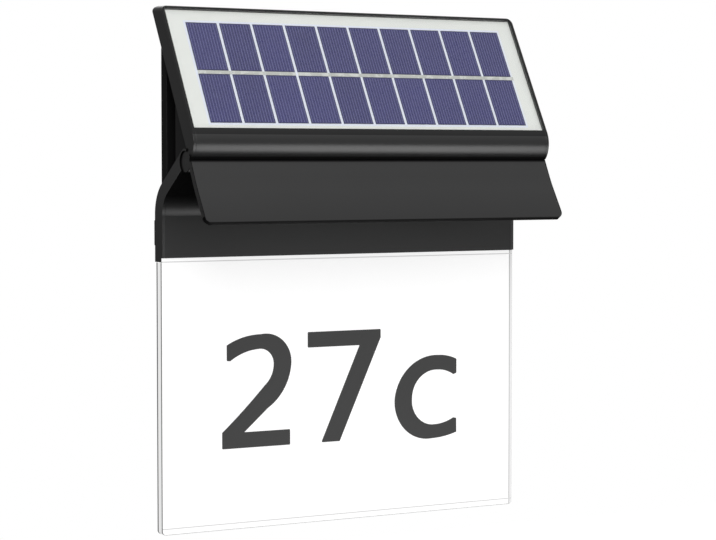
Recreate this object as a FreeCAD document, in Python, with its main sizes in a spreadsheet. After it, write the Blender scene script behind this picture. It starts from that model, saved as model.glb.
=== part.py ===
import FreeCAD, Part
import math
import os
import re
from types import SimpleNamespace

from FreeCAD import Placement, Rotation, Vector

# House number sign with a tilting solar head, hung on a wall plate. Millimetres.
# The wall is the plane Y = 0, the sign faces -Y, X runs along its width and Z points up.
# The origin is the centre of the wall plate's back face.
#
# Three frames are used. The row frame holds the wall plate, the lower body and the number plate.
# The arm frame is the row frame turned about X so that its -Y runs up along the lower body's arm.
# The head frame is turned about X so that its Y runs up along the solar panel and its Z out of it.

SIZES = {
    # overall
    "head_width": 200.0,
    "row_width": 201.4,
    "cap_wall": 1.5,
    "head_angle": 60.6,
    "arm_angle": 35.0,
    "pivot_y": -37.2,
    "pivot_z": -4.8,
    # wall plate
    "plate_width": 190.0,
    "plate_top": 50.0,
    "plate_step": -22.0,
    "plate_depth": 5.5,
    "tongue_width": 150.0,
    "tongue_depth": 3.9,
    "wall_hole_span": 120.0,
    "wall_hole_rise": 28.0,
    "wall_slot_width": 4.5,
    "wall_slot_length": 9.0,
    "stud_offset": 35.0,
    "stud_height": -36.0,
    "stud_neck_radius": 2.2,
    "stud_head_radius": 4.1,
    "keyhole_travel": 10.0,
    "keyhole_clearance": 0.2,
    "keyhole_hollow": 1.9,
    # lower body
    "body_front": -12.7,
    "body_back": -4.4,
    "front_lip": -50.7,
    "back_lip": -52.8,
    "pocket_front": -11.9,
    "pocket_back": -5.2,
    "pocket_top": -42.0,
    "web_thick": 1.2,
    "body_wall": 1.3,
    "arm_under": -26.6,
    "arm_over": -19.5,
    "bend_inner": 13.5,
    "bend_outer": 18.0,
    "arm_cavity_end": -20.5,
    "socket_radius": 5.2,
    "lip_radius": 6.15,
    "lip_end": 109.0,
    "plug_depth": 4.0,
    "plug_gap": 0.1,
    "pad_length": 20.0,
    "pad_inset": 1.7,
    "pad_top": -33.0,
    "pad_bottom": -45.0,
    # number plate
    "guide_front": -11.85,
    "guide_thick": 5.9,
    "guide_top": -44.3,
    "guide_bottom": -184.3,
    "guide_corner": 2.0,
    "guide_chamfer": 0.3,
    "sheet_thick": 0.5,
    "sheet_side": 1.8,
    "sheet_inset": 3.0,
    "seal_thick": 0.25,
    "foil_thick": 0.3,
    "clamp_height": -47.5,
    "clamp_radius": 1.5,
    # light source
    "board_length": 190.0,
    "board_width": 5.4,
    "board_thick": 1.0,
    "chip_length": 3.5,
    "chip_width": 2.8,
    "chip_thick": 0.8,
    "chip_pitch": 10.0,
    "lead_radius": 1.2,
    "lead_offset": 9.0,
    "duct_gap": 0.3,
    # hinge
    "barrel_radius": 4.9,
    "lug_offset": 60.0,
    "lug_thick": 5.0,
    "lug_eye": 3.9,
    "pin_radius": 2.0,
    "pin_length": 18.0,
    "pin_play": 0.05,
    "washer_thick": 0.5,
    "washer_radius": 3.8,
    "washer_gap": 0.1,
    "barrel_cavity": 4.2,
    # visor
    "visor_slope": 63.3,
    "visor_upper": 14.0,
    "visor_flare": 58.0,
    "visor_lower": 20.9,
    "visor_bend": 60.0,
    "visor_thick": 2.6,
    "visor_corner": 3.8,
    "visor_edge": 0.7,
    "rib_angle": 138.0,
    "rib_gap": 0.1,
    # solar housing, heights and lengths in the head frame
    "rear_face": 33.8,
    "front_face": 43.4,
    "top_rear": 61.2,
    "top_front": 55.3,
    "top_corner": 3.0,
    "nose_start": -13.0,
    "rear_wall": 1.5,
    "pocket_high": 54.1,
    "pocket_low": -11.7,
    "ledge": 2.5,
    "ledge_face": 41.2,
    "saddle_radius": 4.95,
    "notch_radius": 6.5,
    "notch_end": 113.0,
    "crease_gap": 0.55,
    "nose_bore": 2.0,
    # solar panel
    "glass_thick": 1.1,
    "glass_recess": 0.15,
    "glass_play": 0.05,
    "seal_height": 0.4,
    "backsheet_thick": 0.3,
    "cell_thick": 0.2,
    "cell_width": 16.45,
    "cell_height": 26.55,
    "cell_pitch": 17.93,
    "cell_left": -88.5,
    "cell_low": -8.1,
    "row_gap": 2.15,
    # battery compartment
    "cover_width": 190.0,
    "cover_back": -13.5,
    "cover_shoulder": 21.0,
    "cover_high": 22.0,
    "cover_under": -18.3,
    "cover_wall": 1.8,
    "cover_round": 3.0,
    "gasket_thick": 0.8,
    "battery_radius": 7.0,
    "battery_length": 48.2,
    "battery_up": -2.8,
    "battery_out": 24.4,
    # button
    "button_radius": 2.5,
    "button_play": 0.3,
    "button_up": -3.0,
    "button_out": 24.0,
    "button_proud": 2.2,
}
size = SimpleNamespace(**SIZES)

doc = FreeCAD.newDocument("house_number_sign")
sheet = doc.addObject("Spreadsheet::Sheet", "sheet")
for row, (alias, number) in enumerate(SIZES.items(), start=1):
    sheet.set(f"A{row}", alias)
    sheet.set(f"B{row}", str(number))
    sheet.setAlias(f"B{row}", alias)
doc.recompute()

subparts = []

HALF_INNER = size.head_width / 2 - size.cap_wall
ROW_INNER = size.row_width / 2 - size.cap_wall
RIGHT_AND_LEFT = (1, -1)


# ---------------------------------------------------------------- frames and points

def turned_frame(angle):
    return Placement(Vector(0, 0, 0), Rotation(Vector(1, 0, 0), angle))


ROW = turned_frame(0)
ARM = turned_frame(-size.arm_angle)
HEAD = turned_frame(size.head_angle)


def from_frame(frame, across, out):
    """The row's (y, z) of a point of a turned frame."""
    point = frame.multVec(Vector(0, across, out))
    return point.y, point.z


def into_frame(frame, y, z):
    """A turned frame's (across, out) of a point of the row."""
    point = frame.inverse().multVec(Vector(0, y, z))
    return point.y, point.z


def polar(centre, radius, degrees):
    angle = math.radians(degrees)
    return centre[0] + radius * math.cos(angle), centre[1] + radius * math.sin(angle)


def shifted(point, step, distance):
    return point[0] + step[0] * distance, point[1] + step[1] * distance


def meet(first, first_way, second, second_way):
    """Where two lines cross, each given by a point and a direction."""
    turn = first_way[0] * second_way[1] - first_way[1] * second_way[0]
    gap = (second[0] - first[0], second[1] - first[1])
    along = (gap[0] * second_way[1] - gap[1] * second_way[0]) / turn
    return shifted(first, first_way, along)


PIVOT = (size.pivot_y, size.pivot_z)
PIVOT_IN_ARM = into_frame(ARM, *PIVOT)
PIVOT_IN_HEAD = into_frame(HEAD, *PIVOT)
UP = (0.0, 1.0)
ARM_WAY = from_frame(ARM, 1.0, 0.0)
PANEL_WAY = from_frame(HEAD, 1.0, 0.0)


def beside_arm(y, height):
    """Where the vertical line at y crosses the line at this height in the arm frame."""
    return meet((y, 0.0), UP, from_frame(ARM, 0.0, height), ARM_WAY)


# ---------------------------------------------------------------- document helpers

def bind(thing, name, formula):
    """Ties a property to the sheet. Each word of the formula is a cell."""
    thing.setExpression(name, re.sub(r"[a-z_]+", lambda word: "sheet." + word.group(), formula))


def keep(thing, label):
    """Marks a finished sub-part, which is written out under its label."""
    thing.Label = label
    if thing.Label != label:
        raise RuntimeError("label already in use: " + label)
    subparts.append(thing)
    return thing


def outline(*steps):
    """Curves of a closed outline. A step is a corner (a, b), a corner to round (a, b, radius), or
    ("arc", (a, b)), which bends the run to the next corner through that point."""
    corners, through = [], []
    for step in steps:
        if step[0] == "arc":
            through[-1] = Vector(step[1][0], step[1][1], 0)
        else:
            corners.append(step)
            through.append(None)
    points = [Vector(corner[0], corner[1], 0) for corner in corners]
    enter, leave, curves = list(points), list(points), []
    for index, corner in enumerate(corners):
        if len(corner) < 3:
            continue
        here = points[index]
        back = (points[index - 1] - here).normalize()
        ahead = (points[(index + 1) % len(points)] - here).normalize()
        half = back.getAngle(ahead) / 2
        enter[index] = here + back * (corner[2] / math.tan(half))
        leave[index] = here + ahead * (corner[2] / math.tan(half))
        middle = here + (back + ahead).normalize() * (corner[2] / math.sin(half) - corner[2])
        curves.append(Part.Arc(enter[index], middle, leave[index]))
    for index, middle in enumerate(through):
        end = enter[(index + 1) % len(points)]
        if middle:
            curves.append(Part.Arc(leave[index], middle, end))
        elif (end - leave[index]).Length > 1e-6:
            curves.append(Part.LineSegment(leave[index], end))
    return curves


def circle(centre, radius):
    return [Part.Circle(Vector(centre[0], centre[1], 0), Vector(0, 0, 1), radius)]


def slot(first, last, half):
    """A slot with round ends between two centres."""
    length = math.dist(first, last)
    way = ((last[0] - first[0]) / length, (last[1] - first[1]) / length)
    side = (way[1], -way[0])
    return outline(shifted(first, side, half), shifted(last, side, half),
                   ("arc", shifted(last, way, half)), shifted(last, side, -half),
                   shifted(first, side, -half), ("arc", shifted(first, way, -half)))


def new_body(name, frame=ROW):
    body = doc.addObject("PartDesign::Body", name)
    body.Placement = frame
    return body


def sketch_on(body, plane, curves, offset=0.0):
    """A sketch on one of the body's own origin planes, moved along the plane's normal."""
    sketch = body.newObject("Sketcher::SketchObject", body.Name + "_outline")
    face = next(item for item in body.Origin.OriginFeatures if item.Role == plane)
    sketch.AttachmentSupport = [(face, "")]
    sketch.MapMode = "FlatFace"
    sketch.AttachmentOffset = Placement(Vector(0, 0, offset), Rotation())
    sketch.addGeometry(curves, False)
    return sketch


def pad(body, plane, curves, length, offset=0.0):
    """A pad that grows both ways from the offset plane. The length is a formula of cells."""
    feature = body.newObject("PartDesign::Pad", body.Name + "_pad")
    feature.Profile = sketch_on(body, plane, curves, offset)
    feature.SideType = "Symmetric"
    bind(feature, "Length", length)
    body.Tip = feature
    return feature


def pocket(body, plane, curves, length, offset=0.0):
    feature = body.newObject("PartDesign::Pocket", body.Name + "_pocket")
    feature.Profile = sketch_on(body, plane, curves, offset)
    feature.SideType = "Symmetric"
    bind(feature, "Length", length)
    body.Tip = feature
    return feature


def dress(body, kind, radius, is_wanted):
    """A fillet or chamfer on the edges whose middle point passes the test, in the body's frame."""
    doc.recompute()
    base = body.Tip
    names = []
    for number, edge in enumerate(base.Shape.Edges, start=1):
        middle = edge.valueAt((edge.FirstParameter + edge.LastParameter) / 2)
        if is_wanted(middle, edge):
            names.append(f"Edge{number}")
    feature = body.newObject("PartDesign::" + kind, body.Name + "_" + kind.lower())
    feature.Base = (base, names)
    bind(feature, "Radius" if kind == "Fillet" else "Size", radius)
    body.Tip = feature
    return feature


def extrusion(name, curves, length, offset=0.0, frame=ROW, plane="YZ_Plane"):
    body = new_body(name, frame)
    pad(body, plane, curves, length, offset)
    return body


def block(name, low, sizes, frame=ROW):
    """A box from its low corner. Its three sizes are formulas of cells."""
    box = doc.addObject("Part::Box", name)
    for side, formula in zip(("Length", "Width", "Height"), sizes):
        bind(box, side, formula)
    box.Placement = frame * Placement(Vector(*low), Rotation())
    return box


def tool_box(name, low, high, frame=ROW):
    """A cutting box between two corners."""
    box = doc.addObject("Part::Box", name)
    box.Length, box.Width, box.Height = (b - a for a, b in zip(low, high))
    box.Placement = frame * Placement(Vector(*low), Rotation())
    return box


def rod(name, start, way, radius, length, frame=ROW):
    """A cylinder from a start point along a direction. Radius and length are formulas of cells."""
    cylinder = doc.addObject("Part::Cylinder", name)
    bind(cylinder, "Radius", radius)
    bind(cylinder, "Height", length)
    cylinder.Placement = frame * Placement(Vector(*start), Rotation(Vector(0, 0, 1), Vector(*way)))
    return cylinder


def fused(name, shapes):
    union = doc.addObject("Part::MultiFuse", name)
    union.Shapes = shapes
    return union


def cut(name, base, tools):
    result = doc.addObject("Part::Cut", name)
    result.Base = base
    result.Tool = tools[0] if len(tools) == 1 else fused(name + "_tools", tools)
    return result


def group(name, members):
    """Separate solids that share one node."""
    compound = doc.addObject("Part::Compound", name)
    compound.Links = members
    return compound


def solid_of(name, shape):
    feature = doc.addObject("Part::Feature", name)
    feature.Shape = shape
    return feature


def tube_shape(points, radii, radius):
    """A round tube along straight runs joined by tangent arcs. radii has one for each inner point."""
    points = [Vector(*point) for point in points]
    edges, here = [], points[0]
    for index, bend in enumerate(radii, start=1):
        back = (points[index - 1] - points[index]).normalize()
        ahead = (points[index + 1] - points[index]).normalize()
        half = back.getAngle(ahead) / 2
        reach = bend / math.tan(half)
        enter, leave = points[index] + back * reach, points[index] + ahead * reach
        middle = points[index] + (back + ahead).normalize() * (bend / math.sin(half) - bend)
        edges.append(Part.LineSegment(here, enter).toShape())
        edges.append(Part.Arc(enter, middle, leave).toShape())
        here = leave
    edges.append(Part.LineSegment(here, points[-1]).toShape())
    path = Part.Wire(edges)
    ring = Part.Wire(Part.makeCircle(radius, points[0], points[1] - points[0]))
    tube = path.makePipeShell([ring], True, False)
    expected = math.pi * radius ** 2 * path.Length
    if abs(tube.Volume / expected - 1) > 0.01:
        raise ValueError(f"a tube's volume is {tube.Volume:.1f}, not {expected:.1f}")
    bends = ", ".join(f"{bend:g}" for bend in radii)
    print(f"tube of radius {radius:g}, bend radii {bends}, volume {tube.Volume:.1f} of {expected:.1f}")
    return tube


def screw(name, seat, way, head, shaft, frame=ROW):
    """A cross-head screw. seat is under its head, way points at its tip, head is (radius, height)
    and shaft is (radius, length)."""
    turn = Rotation(Vector(0, 0, 1), Vector(*way))
    body = Part.makeCylinder(shaft[0], shaft[1]).fuse(
        Part.makeCylinder(head[0], head[1], Vector(0, 0, -head[1])))
    slot_long, slot_wide, slot_deep = head[0] * 1.2, head[0] * 0.25, head[1] * 0.6
    for long, wide in ((slot_long, slot_wide), (slot_wide, slot_long)):
        body = body.cut(Part.makeBox(long, wide, slot_deep, Vector(-long / 2, -wide / 2, -head[1])))
    feature = solid_of(name, body)
    feature.Placement = frame * Placement(Vector(*seat), turn)
    return feature


def countersunk(name, top, way, head, shaft, frame=ROW):
    """A flush screw or its hole. head is (radius, depth) and shaft is (radius, length)."""
    body = Part.makeCone(head[0], shaft[0], head[1]).fuse(Part.makeCylinder(*shaft))
    feature = solid_of(name, body)
    feature.Placement = frame * Placement(Vector(*top), Rotation(Vector(0, 0, 1), Vector(*way)))
    return feature


# ---------------------------------------------------------------- wall plate

def wall_plate():
    body = new_body("wall_plate_blank")
    upper = outline((-size.plate_depth, size.plate_step), (0, size.plate_step),
                    (0, size.plate_top), (-size.plate_depth, size.plate_top, 1.5))
    pad(body, "YZ_Plane", upper, "plate_width")
    tongue = outline((-size.tongue_depth, -size.plate_top), (0, -size.plate_top),
                     (0, size.plate_step + 1), (-size.tongue_depth, size.plate_step + 1))
    pad(body, "YZ_Plane", tongue, "tongue_width")
    dress(body, "Chamfer", "guide_chamfer",
          lambda middle, edge: abs(abs(middle.x) - size.plate_width / 2) < 0.01
          and abs(middle.y + size.plate_depth) < 0.01)
    straight = (size.wall_slot_length - size.wall_slot_width) / 2
    for side in RIGHT_AND_LEFT:
        for level in (size.wall_hole_rise, -size.wall_hole_rise):
            centre = side * size.wall_hole_span / 2
            pocket(body, "XZ_Plane", slot((centre - straight, level), (centre + straight, level),
                                          size.wall_slot_width / 2), "4 * plate_depth")
        keyhole(body, side * size.stud_offset)
    keep(body, "wall_plate")


def keyhole(body, centre):
    """Cuts a keyhole: the stud's head goes in at the top, and its neck slides to the bottom."""
    low, high = (centre, size.stud_height), (centre, size.stud_height + size.keyhole_travel)
    head = size.stud_head_radius + size.keyhole_clearance
    pocket(body, "XZ_Plane", slot(low, high, size.stud_neck_radius + size.keyhole_clearance),
           "4 * plate_depth")
    pocket(body, "XZ_Plane", circle(high, head), "4 * plate_depth")
    pocket(body, "XZ_Plane", slot(low, high, head), "2 * keyhole_hollow")


def hang_studs():
    studs = []
    for side in RIGHT_AND_LEFT:
        centre = side * size.stud_offset
        inner = size.body_back - size.body_wall
        profile = [rod("stud_neck", (centre, inner - 0.8, size.stud_height), (0, 1, 0),
                       "stud_neck_radius", "4.7"),
                   rod("stud_head", (centre, -1.8, size.stud_height), (0, 1, 0),
                       "stud_head_radius", "1.3"),
                   rod("stud_rivet", (centre, inner - 0.8, size.stud_height), (0, 1, 0),
                       "stud_head_radius - 0.9", "0.8")]
        studs.append(fused("hang_stud", profile))
    keep(group("hang_stud_pair", studs), "hang_studs")


# ---------------------------------------------------------------- lower body

def arm_end_steps():
    """The arm's end from its underside, round the socket and the lip, to its top."""
    under = size.arm_under - PIVOT_IN_ARM[1]
    over = size.arm_over - PIVOT_IN_ARM[1]
    start = -size.arm_angle + math.degrees(math.asin(under / size.socket_radius))
    stop = 90 - size.arm_angle + math.degrees(math.acos(over / size.lip_radius))
    return [polar(PIVOT, size.socket_radius, start),
            ("arc", polar(PIVOT, size.socket_radius, (start + size.lip_end) / 2)),
            polar(PIVOT, size.socket_radius, size.lip_end),
            polar(PIVOT, size.lip_radius, size.lip_end),
            ("arc", polar(PIVOT, size.lip_radius, (size.lip_end + stop) / 2)),
            polar(PIVOT, size.lip_radius, stop)]


def body_outline():
    return outline(
        (size.body_front, size.front_lip),
        (*beside_arm(size.body_front, size.arm_under), size.bend_inner),
        *arm_end_steps(),
        (*beside_arm(size.body_back, size.arm_over), size.bend_outer),
        (size.body_back, size.back_lip), (size.pocket_back, size.back_lip),
        (size.pocket_back, size.pocket_top), (size.pocket_front, size.pocket_top),
        (size.pocket_front, size.front_lip))


def cap_outline():
    """The lower body's outer outline, with a tab that hangs over the number plate's edge."""
    tab_front = -11.2
    return outline(
        (size.body_front, size.front_lip),
        (*beside_arm(size.body_front, size.arm_under), size.bend_inner),
        *arm_end_steps(),
        (*beside_arm(size.body_back, size.arm_over), size.bend_outer),
        (size.body_back, size.back_lip), (tab_front, size.back_lip), (tab_front, size.front_lip))


def cavity_outline(inset):
    """The hollow inside the lower body above the web, drawn in by an inset."""
    wall = size.body_wall + inset
    floor = size.pocket_top + size.web_thick + inset
    end = size.arm_cavity_end + inset
    under, over = size.arm_under + wall, size.arm_over - wall
    return outline(
        (size.body_front + wall, floor),
        (*beside_arm(size.body_front + wall, under), size.bend_inner + wall),
        from_frame(ARM, end, under), from_frame(ARM, end, over),
        (*beside_arm(size.body_back - wall, over), size.bend_outer - wall),
        (size.body_back - wall, floor))


def lower_body():
    body = extrusion("lower_body_blank", body_outline() + cavity_outline(0.0),
                     "row_width - 2 * cap_wall")
    tools = [
        rod("web_hole", (-size.lead_offset, -8.4, size.pocket_top - 0.5), (0, 0, 1),
            "lead_radius + duct_gap", "web_thick + 1"),
        rod("socket_hole", (-size.lead_offset, -25.0, -23.6), (0, 1, 0),
            "lead_radius + duct_gap + 0.3", "6", ARM),
    ]
    for side in RIGHT_AND_LEFT:
        middle, half = side * size.lug_offset, size.lug_thick / 2
        tools.append(tool_box("lug_slot", (middle - half - 0.1, -24.8, LUG_NECK[0] - 0.1),
                              (middle + half + 0.1, -20.3, LUG_NECK[1] + 0.1), ARM))
        for along in LUG_SCREWS:
            tools.append(lug_screw("lug_screw_hole", middle, along))
        tools.append(rod("stud_hole", (side * size.stud_offset, -6.5, size.stud_height), (0, 1, 0),
                         "stud_neck_radius", "4"))
    for across in CLAMP_SCREWS:
        tools.append(clamp_screw("clamp_hole", across))
    keep(cut("lower_body_cut", body, tools), "lower_body")


def body_caps():
    for side, word in zip(RIGHT_AND_LEFT, ("right", "left")):
        body = new_body("body_cap_" + word)
        middle = side * (size.row_width - size.cap_wall) / 2
        pad(body, "YZ_Plane", cap_outline(), "cap_wall", middle)
        pad(body, "YZ_Plane", cavity_outline(size.plug_gap), "plug_depth",
            side * (ROW_INNER - size.plug_depth / 2))
        keep(body, "body_cap_" + word)


def wall_pads():
    pads = []
    for side in RIGHT_AND_LEFT:
        outer = side * (size.row_width / 2 - size.pad_inset)
        low = min(outer, outer - side * size.pad_length)
        pads.append(block("wall_pad", (low, size.body_back, size.pad_bottom),
                          ("pad_length", "-1 * body_back", "pad_top - pad_bottom")))
    keep(group("wall_pad_pair", pads), "wall_pads")


# ---------------------------------------------------------------- number plate

CLAMP_SCREWS = (-85.0, -30.0, 30.0, 85.0)
GUIDE_BACK = size.guide_front + size.guide_thick
SHEET_BACK = GUIDE_BACK + size.sheet_thick


def light_guide():
    half, inner = size.row_width / 2, ROW_INNER - 0.2
    shoulder = size.front_lip - 0.2
    body = extrusion("light_guide_blank", outline(
        (-half, size.guide_bottom, size.guide_corner), (half, size.guide_bottom, size.guide_corner),
        (half, shoulder), (inner, shoulder), (inner, size.guide_top), (-inner, size.guide_top),
        (-inner, shoulder), (-half, shoulder)),
        "guide_thick", -(size.guide_front + size.guide_thick / 2), plane="XZ_Plane")
    dress(body, "Chamfer", "guide_chamfer",
          lambda middle, edge: abs(middle.y - size.guide_front) < 0.01 and middle.z < shoulder - 1)
    tools = [rod("guide_hole", (across, GUIDE_BACK + 1, size.clamp_height), (0, -1, 0),
                 "clamp_radius", "4.3") for across in CLAMP_SCREWS]
    for side in RIGHT_AND_LEFT:
        low, high = sorted((side * inner, side * (half + 1)))
        tools.append(tool_box("tab_notch", (low, -11.3, size.back_lip - 0.2),
                              (high, GUIDE_BACK + 1, shoulder + 1)))
    keep(cut("light_guide_cut", body, tools), "light_guide")


def sheet_with_holes(name, thick, back, half, low, high, corner):
    """A thin sheet behind the number plate, pierced for the clamp screws."""
    curves = outline((-half, low, corner), (half, low, corner), (half, high), (-half, high))
    for across in CLAMP_SCREWS:
        curves += circle((across, size.clamp_height), size.clamp_radius)
    middle = back - SIZES[thick] / 2
    keep(extrusion(name, curves, thick, -middle, plane="XZ_Plane"), name)


def clamp_screw(name, across):
    """A countersunk screw through the pocket's back wall into the number plate."""
    return countersunk(name, (across, size.body_back, size.clamp_height), (0, -1, 0),
                       (2.6, size.body_back - size.pocket_back), (size.clamp_radius, 4.8))


def clamp_screws():
    screws = [clamp_screw("clamp_screw", across) for across in CLAMP_SCREWS]
    keep(group("clamp_screw_set", screws), "clamp_screws")


def foil(name, curves):
    """A self-adhesive figure on the number plate's front."""
    middle = size.guide_front - size.foil_thick / 2
    keep(extrusion(name, curves, "foil_thick", -middle, plane="XZ_Plane"), name)


BASELINE = -144.6
FIGURE_TOP = -89.2
STROKE = 7.7
EDGE = 0.5


def figure_two():
    bar = BASELINE + STROKE
    foil("numeral_two", outline(
        (-68.8, BASELINE, EDGE), (-31.4, BASELINE, EDGE), (-31.4, bar, EDGE), (-56.8, bar),
        (-43.6, -125.6), ("arc", (-33.9, -115.3)), (-30.6, -103.6), ("arc", (-35.1, -92.9)),
        (-47.3, FIGURE_TOP), ("arc", (-56.9, -90.3)), (-66.2, -94.0), (-66.2, -101.6, EDGE),
        (-64.4, -101.8), ("arc", (-56.7, -97.9)), (-48.9, -96.4), ("arc", (-42.7, -98.5)),
        (-40.4, -104.3), ("arc", (-41.5, -109.4)), (-45.2, -114.3), ("arc", (-50.1, -119.3)),
        (-68.8, -136.6)))


def figure_seven():
    bar = FIGURE_TOP - STROKE
    foil("numeral_seven", outline(
        (-21.3, FIGURE_TOP, EDGE), (20.6, FIGURE_TOP, EDGE), (20.6, FIGURE_TOP - 4.2, EDGE),
        (-3.2, BASELINE, EDGE), (-13.6, BASELINE, EDGE), (8.4, bar), (-21.3, bar, EDGE)))


def figure_c():
    foil("letter_c", outline(
        (66.0, -106.3), ("arc", (60.8, -104.5)), (55.2, -103.9), ("arc", (36.4, -110.6)),
        (29.0, -125.4), ("arc", (35.1, -141.2)), (51.0, -146.6), ("arc", (58.8, -145.9)),
        (66.0, -144.1), (65.9, -136.9, EDGE), (64.2, -136.6), ("arc", (58.4, -138.8)),
        (52.4, -139.5), ("arc", (42.8, -135.6)), (39.2, -125.4), ("arc", (43.7, -115.2)),
        (54.8, -111.4), ("arc", (59.6, -112.1)), (64.2, -114.2), (66.0, -113.6, EDGE)))


# ---------------------------------------------------------------- light source

def led_board():
    middle = (size.pocket_front + size.pocket_back) / 2
    low = size.pocket_top - size.board_thick
    board = block("led_board_blank", (-size.board_length / 2, middle - size.board_width / 2, low),
                  ("board_length", "board_width", "board_thick"))
    keep(board, "led_board")
    chips = []
    count = int(size.board_length // size.chip_pitch)
    for index in range(count):
        centre = (index - (count - 1) / 2) * size.chip_pitch
        chips.append(block("led_chip", (centre - size.chip_length / 2, middle - size.chip_width / 2,
                                        low - size.chip_thick),
                           ("chip_length", "chip_width", "chip_thick")))
    keep(group("led_chip_row", chips), "led_chips")


def body_lead():
    """The lead from the light source up the arm to the hinge axis."""
    middle, across = -8.4, -size.lead_offset
    height = (size.arm_under + size.arm_over) / 2
    points = [(across, middle, size.pocket_top),
              (across, *beside_arm(middle, height)),
              (across, *from_frame(ARM, -19.5, height + 0.4)),
              (across, *PIVOT), (0.0, *PIVOT)]
    radii = [(size.bend_inner + size.bend_outer) / 2, 20.0, 4.0]
    keep(solid_of("body_lead_tube", tube_shape(points, radii, size.lead_radius)), "body_lead")


# ---------------------------------------------------------------- hinge

LUG_NECK = (-25.2, -21.9)
LUG_TAIL_END = -3.0
LUG_SCREWS = (-7.0, -16.0)
SLOT_OPENING = (23.5, -95.0)
LEAD_OPENING = (16.0, -125.0)


def lug_screw(name, across, along):
    """A countersunk screw through the arm's top into a lug's tail."""
    return countersunk(name, (across, along, size.arm_over), (0, 0, -1), (2.3, size.body_wall),
                       (1.25, 5.0), ARM)


def hinge_lugs():
    centre = PIVOT_IN_ARM
    low, high = LUG_NECK[0] - centre[1], LUG_NECK[1] - centre[1]
    wall = size.body_wall + 0.05
    tail_low, tail_high = size.arm_under + wall, size.arm_over - wall
    tail_start = size.arm_cavity_end + 0.3
    curves = outline(
        (centre[0] + math.sqrt(size.lug_eye ** 2 - high ** 2), LUG_NECK[1]),
        (tail_start, LUG_NECK[1]), (tail_start, tail_high),
        (LUG_TAIL_END, tail_high, 1.0), (LUG_TAIL_END, tail_low, 1.0), (tail_start, tail_low),
        (tail_start, LUG_NECK[0]), (centre[0] + math.sqrt(size.lug_eye ** 2 - low ** 2), LUG_NECK[0]),
        ("arc", (centre[0] - size.lug_eye, centre[1])))
    curves += circle(centre, size.pin_radius + size.pin_play)
    screws = []
    for side, word in zip(RIGHT_AND_LEFT, ("right", "left")):
        middle = side * size.lug_offset
        blank = extrusion("hinge_lug_blank_" + word, curves, "lug_thick", middle, ARM)
        holes = [lug_screw("lug_screw_hole", middle, along) for along in LUG_SCREWS]
        keep(cut("hinge_lug_cut", blank, holes), "hinge_lug_" + word)
        screws += [lug_screw("lug_screw", middle, along) for along in LUG_SCREWS]
    keep(group("lug_screw_set", screws), "lug_screws")


def pivot_pins():
    pins, washers, plugs = [], [], []
    for side in RIGHT_AND_LEFT:
        middle = side * size.lug_offset
        pins.append(rod("pivot_pin", (middle - size.pin_length / 2, *PIVOT), (1, 0, 0),
                        "pin_radius", "pin_length"))
        for face in RIGHT_AND_LEFT:
            gap = size.lug_thick / 2 + size.washer_gap + size.washer_thick / 2
            washers.append(extrusion("friction_washer", circle(PIVOT, size.washer_radius)
                                     + circle(PIVOT, size.pin_radius),
                                     "washer_thick", middle + face * gap))
        end = side * size.head_width / 2
        plugs.append(rod("bore_plug", (end, *PIVOT), (-side, 0, 0), "pin_radius", "6"))
    keep(group("pivot_pin_pair", pins), "pivot_pins")
    keep(group("friction_washer_set", washers), "friction_washers")
    keep(group("bore_plug_pair", plugs), "bore_plugs")


# ---------------------------------------------------------------- visor

VISOR_DOWN = polar((0.0, 0.0), 1.0, size.visor_slope - 180)
VISOR_OUT = polar((0.0, 0.0), 1.0, size.visor_slope + 90)
VISOR_ROOT = shifted(PIVOT, VISOR_OUT, size.barrel_radius)
FLARE_DOWN = polar((0.0, 0.0), 1.0, size.visor_flare - 180)
FLARE_OUT = polar((0.0, 0.0), 1.0, size.visor_flare + 90)
VISOR_TIP = shifted(shifted(VISOR_ROOT, VISOR_DOWN, size.visor_upper), FLARE_DOWN, size.visor_lower)
VISOR_TIP_REAR = shifted(VISOR_TIP, FLARE_OUT, -size.visor_thick)
RIB_NECK = (0.8, 6.3)
RIB_HEAD = (1.6, 7.8)


def rib_points(centre, angle, foot, gap):
    """The T-shaped rib's points about the hinge axis, from its clockwise foot to the other foot."""
    along, side = polar((0, 0), 1.0, angle), polar((0, 0), 1.0, angle - 90)
    neck, head = RIB_NECK[0] + gap, RIB_HEAD[0] + gap
    under, over = RIB_NECK[1] - gap, RIB_HEAD[1] + gap
    base = math.sqrt(foot ** 2 - neck ** 2)
    half = [(base, neck), (under, neck), (under, head), (over, head)]
    mirrored = [(out, -aside) for out, aside in reversed(half)]
    return [shifted(shifted(centre, along, out), side, aside) for out, aside in half + mirrored]


def visor_outline():
    bend_front = shifted(VISOR_ROOT, VISOR_DOWN, size.visor_upper)
    bend_way = polar((0, 0), 1.0, (size.visor_slope + size.visor_flare) / 2 + 90)
    half_turn = math.radians(size.visor_slope - size.visor_flare) / 2
    bend_rear = shifted(bend_front, bend_way, -size.visor_thick / math.cos(half_turn))
    aside = size.barrel_radius - size.visor_thick
    inner = size.visor_slope - 180 - math.degrees(math.asin(aside / size.barrel_radius))
    rib = rib_points(PIVOT, size.rib_angle, size.barrel_radius, 0.0)
    rib_half = math.degrees(math.asin(RIB_NECK[0] / size.barrel_radius))
    front = (size.rib_angle + rib_half + size.visor_slope + 90) / 2
    return outline(
        VISOR_ROOT, (*bend_front, size.visor_bend), (*VISOR_TIP, size.visor_edge),
        (*VISOR_TIP_REAR, size.visor_edge), (*bend_rear, size.visor_bend - size.visor_thick),
        polar(PIVOT, size.barrel_radius, inner),
        ("arc", polar(PIVOT, size.barrel_radius, 0)), *rib,
        ("arc", polar(PIVOT, size.barrel_radius, front)))


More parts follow.
